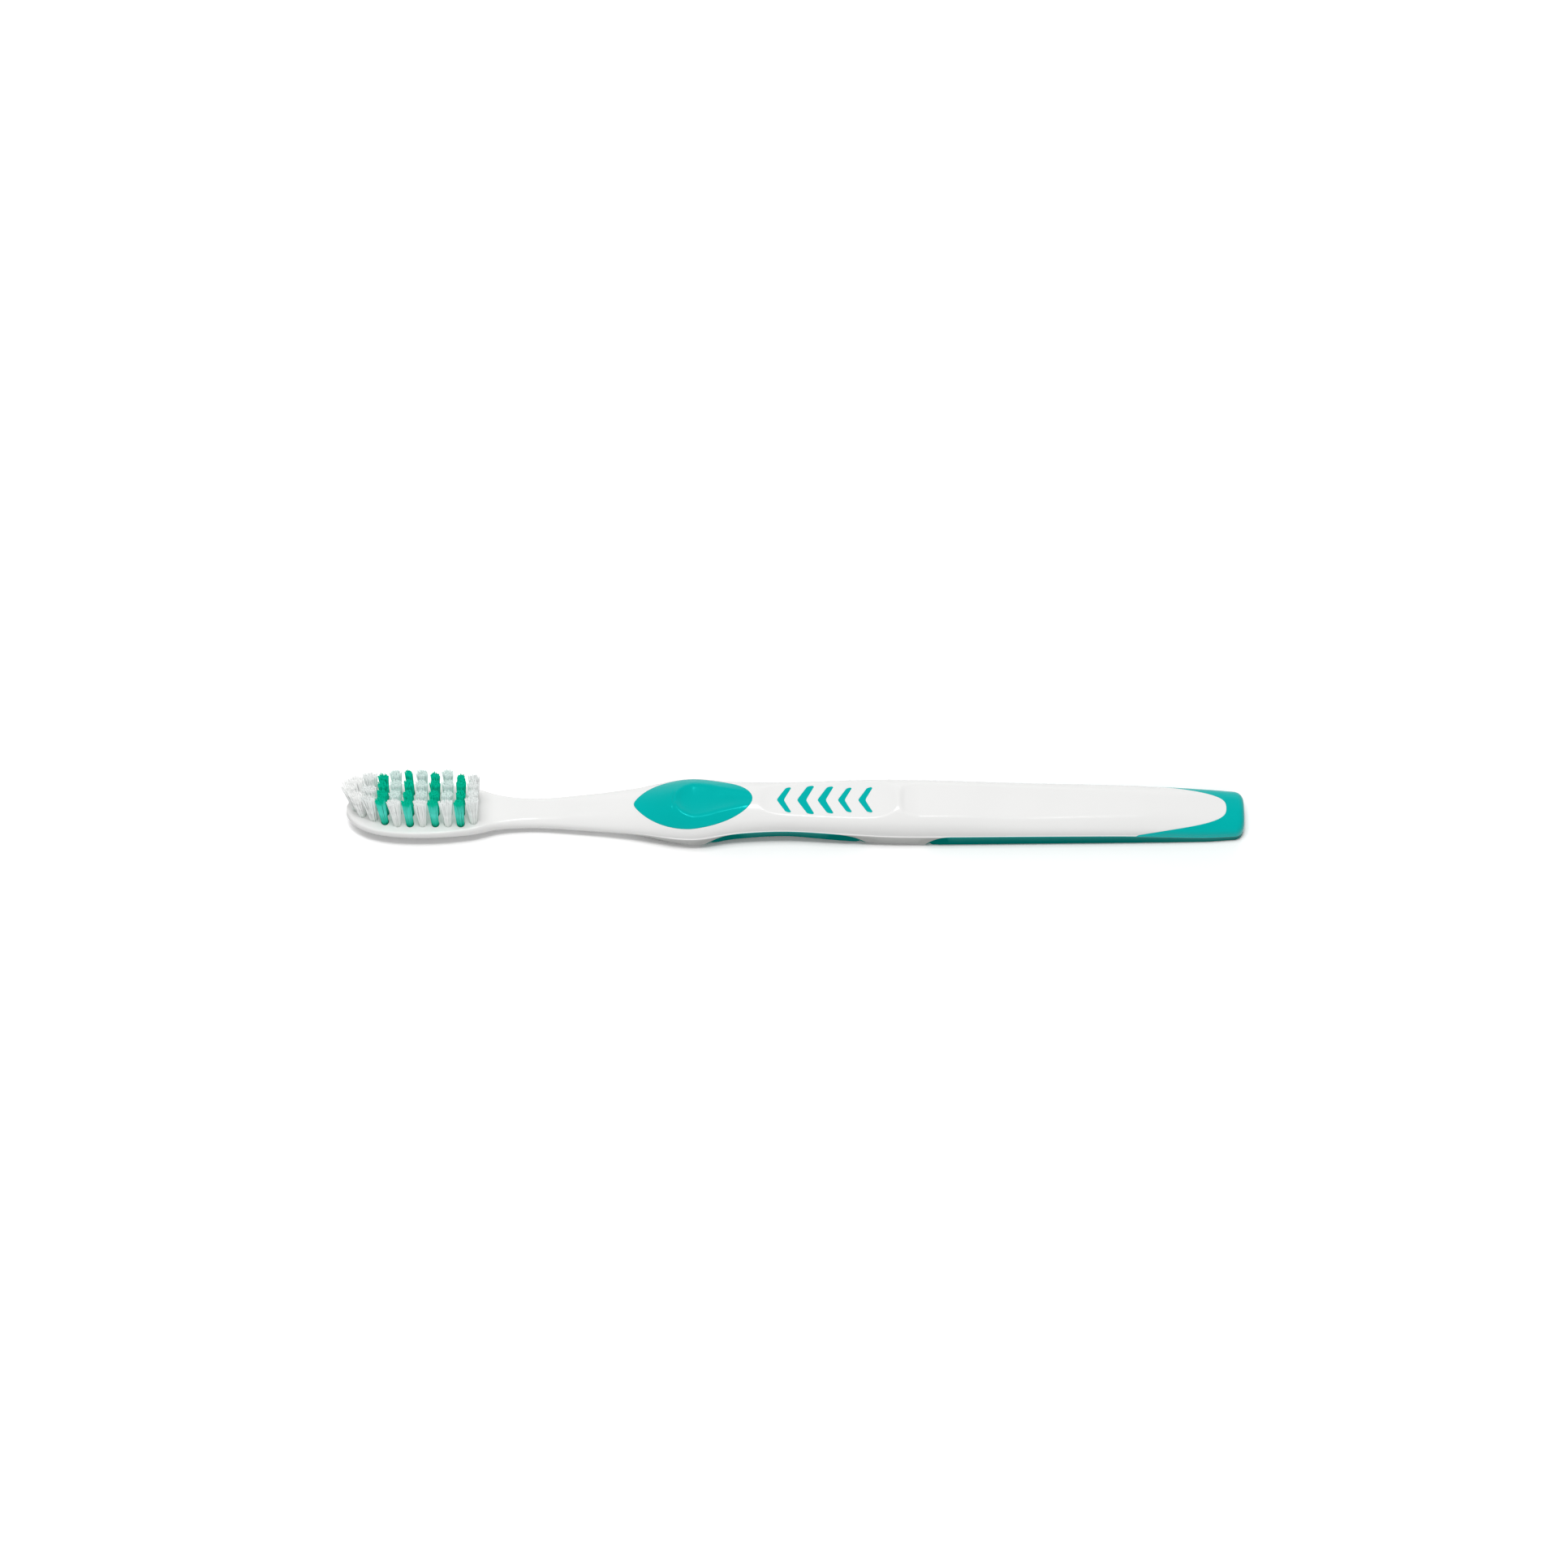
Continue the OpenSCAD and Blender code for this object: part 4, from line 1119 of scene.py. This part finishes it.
def floor():
    """A wide pale table: white to the camera, with the brush's shadow, and greyer as a light source."""
    corners = [(x * FLOOR_REACH, y * FLOOR_REACH, FLOOR_Z) for x, y in ((-1, -1), (1, -1), (1, 1), (-1, 1))]
    mesh = bpy.data.meshes.new("floor")
    mesh.from_pydata(corners, [], [(0, 1, 2, 3)])
    obj = bpy.data.objects.new("floor", mesh)
    bpy.context.scene.collection.objects.link(obj)
    mat, n = material("pale_table")
    mirrored = (ray(n, "Glossy") + ray(n, "Transmission")).clamped()
    level = (FLOOR_BOUNCE + (FLOOR_SEEN - FLOOR_BOUNCE) * ray(n, "Camera")
             + (FLOOR_MIRRORED - FLOOR_BOUNCE) * mirrored)
    grey = n.node("ShaderNodeCombineColor", values={0: level, 1: level, 2: level})
    finished(n, n.node("ShaderNodeBsdfDiffuse", values={"Color": grey}))
    dress(obj, mat)


def area_light(name, power, size, location, mirrored=True):
    """A soft rectangular lamp, tipped about the X axis by the angle between straight down and the way
    to the origin, with or without its mirror image on gloss. Power is in watts, lengths in metres."""
    lamp = bpy.data.lights.new(name, "AREA")
    lamp.shape = "RECTANGLE"
    lamp.size, lamp.size_y = size
    lamp.energy = power
    obj = bpy.data.objects.new(name, lamp)
    obj.location = location
    x, y, z = location
    tip = math.atan2(math.hypot(x, y), z)
    obj.rotation_euler = (-tip if y > 0 else tip, 0, 0)
    obj.visible_glossy = mirrored
    bpy.context.scene.collection.objects.link(obj)


# Lamps: a small one overhead that draws the highlight lines, and three soft ones that fill
LAMP_TILT = math.radians(-3)
LAMP_DISTANCE = 1.1
area_light("overhead_softbox", power=2.5, size=(0.22, 0.14),
           location=(0, LAMP_DISTANCE * math.sin(LAMP_TILT), LAMP_DISTANCE * math.cos(LAMP_TILT)))
area_light("front_fill", power=7.4, size=(1.6, 0.7), location=(0, -1.5, 0.4), mirrored=False)
area_light("top_key", power=5.7, size=(0.5, 0.4), location=(-0.2, 0.01, 1.3), mirrored=False)
area_light("back_fill", power=8, size=(1.6, 0.7), location=(0, 1.4, 0.5), mirrored=False)

# World: white where it is seen, itself or in gloss, and dimmer as a light source
WORLD_LIGHT = 0.3
world = bpy.data.worlds.new("studio")
world.use_nodes = True
world.node_tree.nodes.clear()
w = Socket(world.node_tree, None)
seen = (ray(w, "Camera") + ray(w, "Glossy") + ray(w, "Transmission")).clamped()
w.node("ShaderNodeOutputWorld", values={"Surface": w.node("ShaderNodeBackground", values={
    "Color": (1, 1, 1, 1), "Strength": WORLD_LIGHT + (1 - WORLD_LIGHT) * seen})})
bpy.context.scene.world = world
floor()

# The pieces
white, teal = white_polypropylene(), teal_rubber()
moulding = white_moulding()
cutters = [hole_cutters(), pad_recess()]
for i in range(len(CHEVRON_WEIGHTS)):
    cutters.append(chevron(f"chevron_recess_{i + 1}", i, CHEVRON_RECESS_RISE))
cut_out(moulding, cutters)
smooth_shaded(moulding)
mark_painted_rim_shade(moulding)
in_the_set(moulding, white, "white_polypropylene", "handle_core")

pad = thumb_pad()
smooth_shaded(pad)
in_the_set(pad, teal, "teal_rubber", "thumb_pad")
for i in range(len(CHEVRON_WEIGHTS)):
    piece = chevron(f"chevron_soft_{i + 1}", i)
    smooth_shaded(piece)
    in_the_set(piece, teal, "teal_rubber", f"chevron_{i + 1}")

# The first two rings past the tongue's end close the palm grip's hollow and start its solid end
PAST_TONGUE = (0.001, 0.05)
finger = soft_grip("finger_grip_soft", np.concatenate([
    stations(FINGER_START, FINGER_END, GRIP_STEP), FINGER_END_RINGS]))
palm = soft_grip("palm_grip_soft", np.concatenate([
    stations(PALM_START, TONGUE_START, GRIP_STEP), PALM_START_RINGS, TONGUE_RINGS,
    [TONGUE_END + PAST_TONGUE[0]], stations(TONGUE_END + PAST_TONGUE[1], BRUSH_LEN, TAIL_STEP),
    TAIL_RINGS]), TONGUE_END)
for piece, node in ((finger, "finger_grip"), (palm, "palm_grip")):
    smooth_shaded(piece)
    mark_painted_rim_shade(piece)
    in_the_set(piece, teal, "teal_rubber", node)

# The tufts, with light painted into copies of the nylons: the near row's green is a paler, lit
# copy and the inner green a darker, shaded one, the first two columns' white is painted brighter, and
# the white that stands behind the near row and between green columns is a little green, a painted
# reflection of the green tufts' light
FIRST_SEED = 100
tints = {"white": white_nylon("white_nylon_plain", "e7ebe9", "edf0ef", "ebefee"),
         "white_painted_bright": white_nylon("white_nylon_painted_bright", "f1f3f2", "f7f8f7", "f7f8f7"),
         "white_painted_green": white_nylon("white_nylon_painted_green", "d9eae6", "deecea", "d7eae5"),
         "green": green_nylon("green_nylon_shaded_inner", "00a282", "16bc9c", "08b898"),
         "green_lit_near": green_nylon("green_nylon_lit_near", "20bc9e", "5adccb", "44d4bf")}
for number, (c, letter, s0, y0) in enumerate(tuft_places()):
    tint = painted_light_copy = "green" if c + 1 in GREEN_COLUMNS else "white"
    tuft = filaments(f"{tint}_filaments_{c + 1}{letter}", c, s0, y0, FIRST_SEED + number)
    # Painted light: lit and shaded copies of the nylons, picked by where the tuft stands
    if tint == "green" and letter == "a":
        painted_light_copy = "green_lit_near"
    elif c < 2:
        painted_light_copy = "white_painted_bright"
    elif letter != "a" and c in GREEN_COLUMNS and c + 2 in GREEN_COLUMNS:
        painted_light_copy = "white_painted_green"
    in_the_set(tuft, tints[painted_light_copy], f"{tint}_nylon", f"{tint}_tuft_{c + 1}{letter}")

dress(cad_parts["tuft_anchors"], brass_wire())
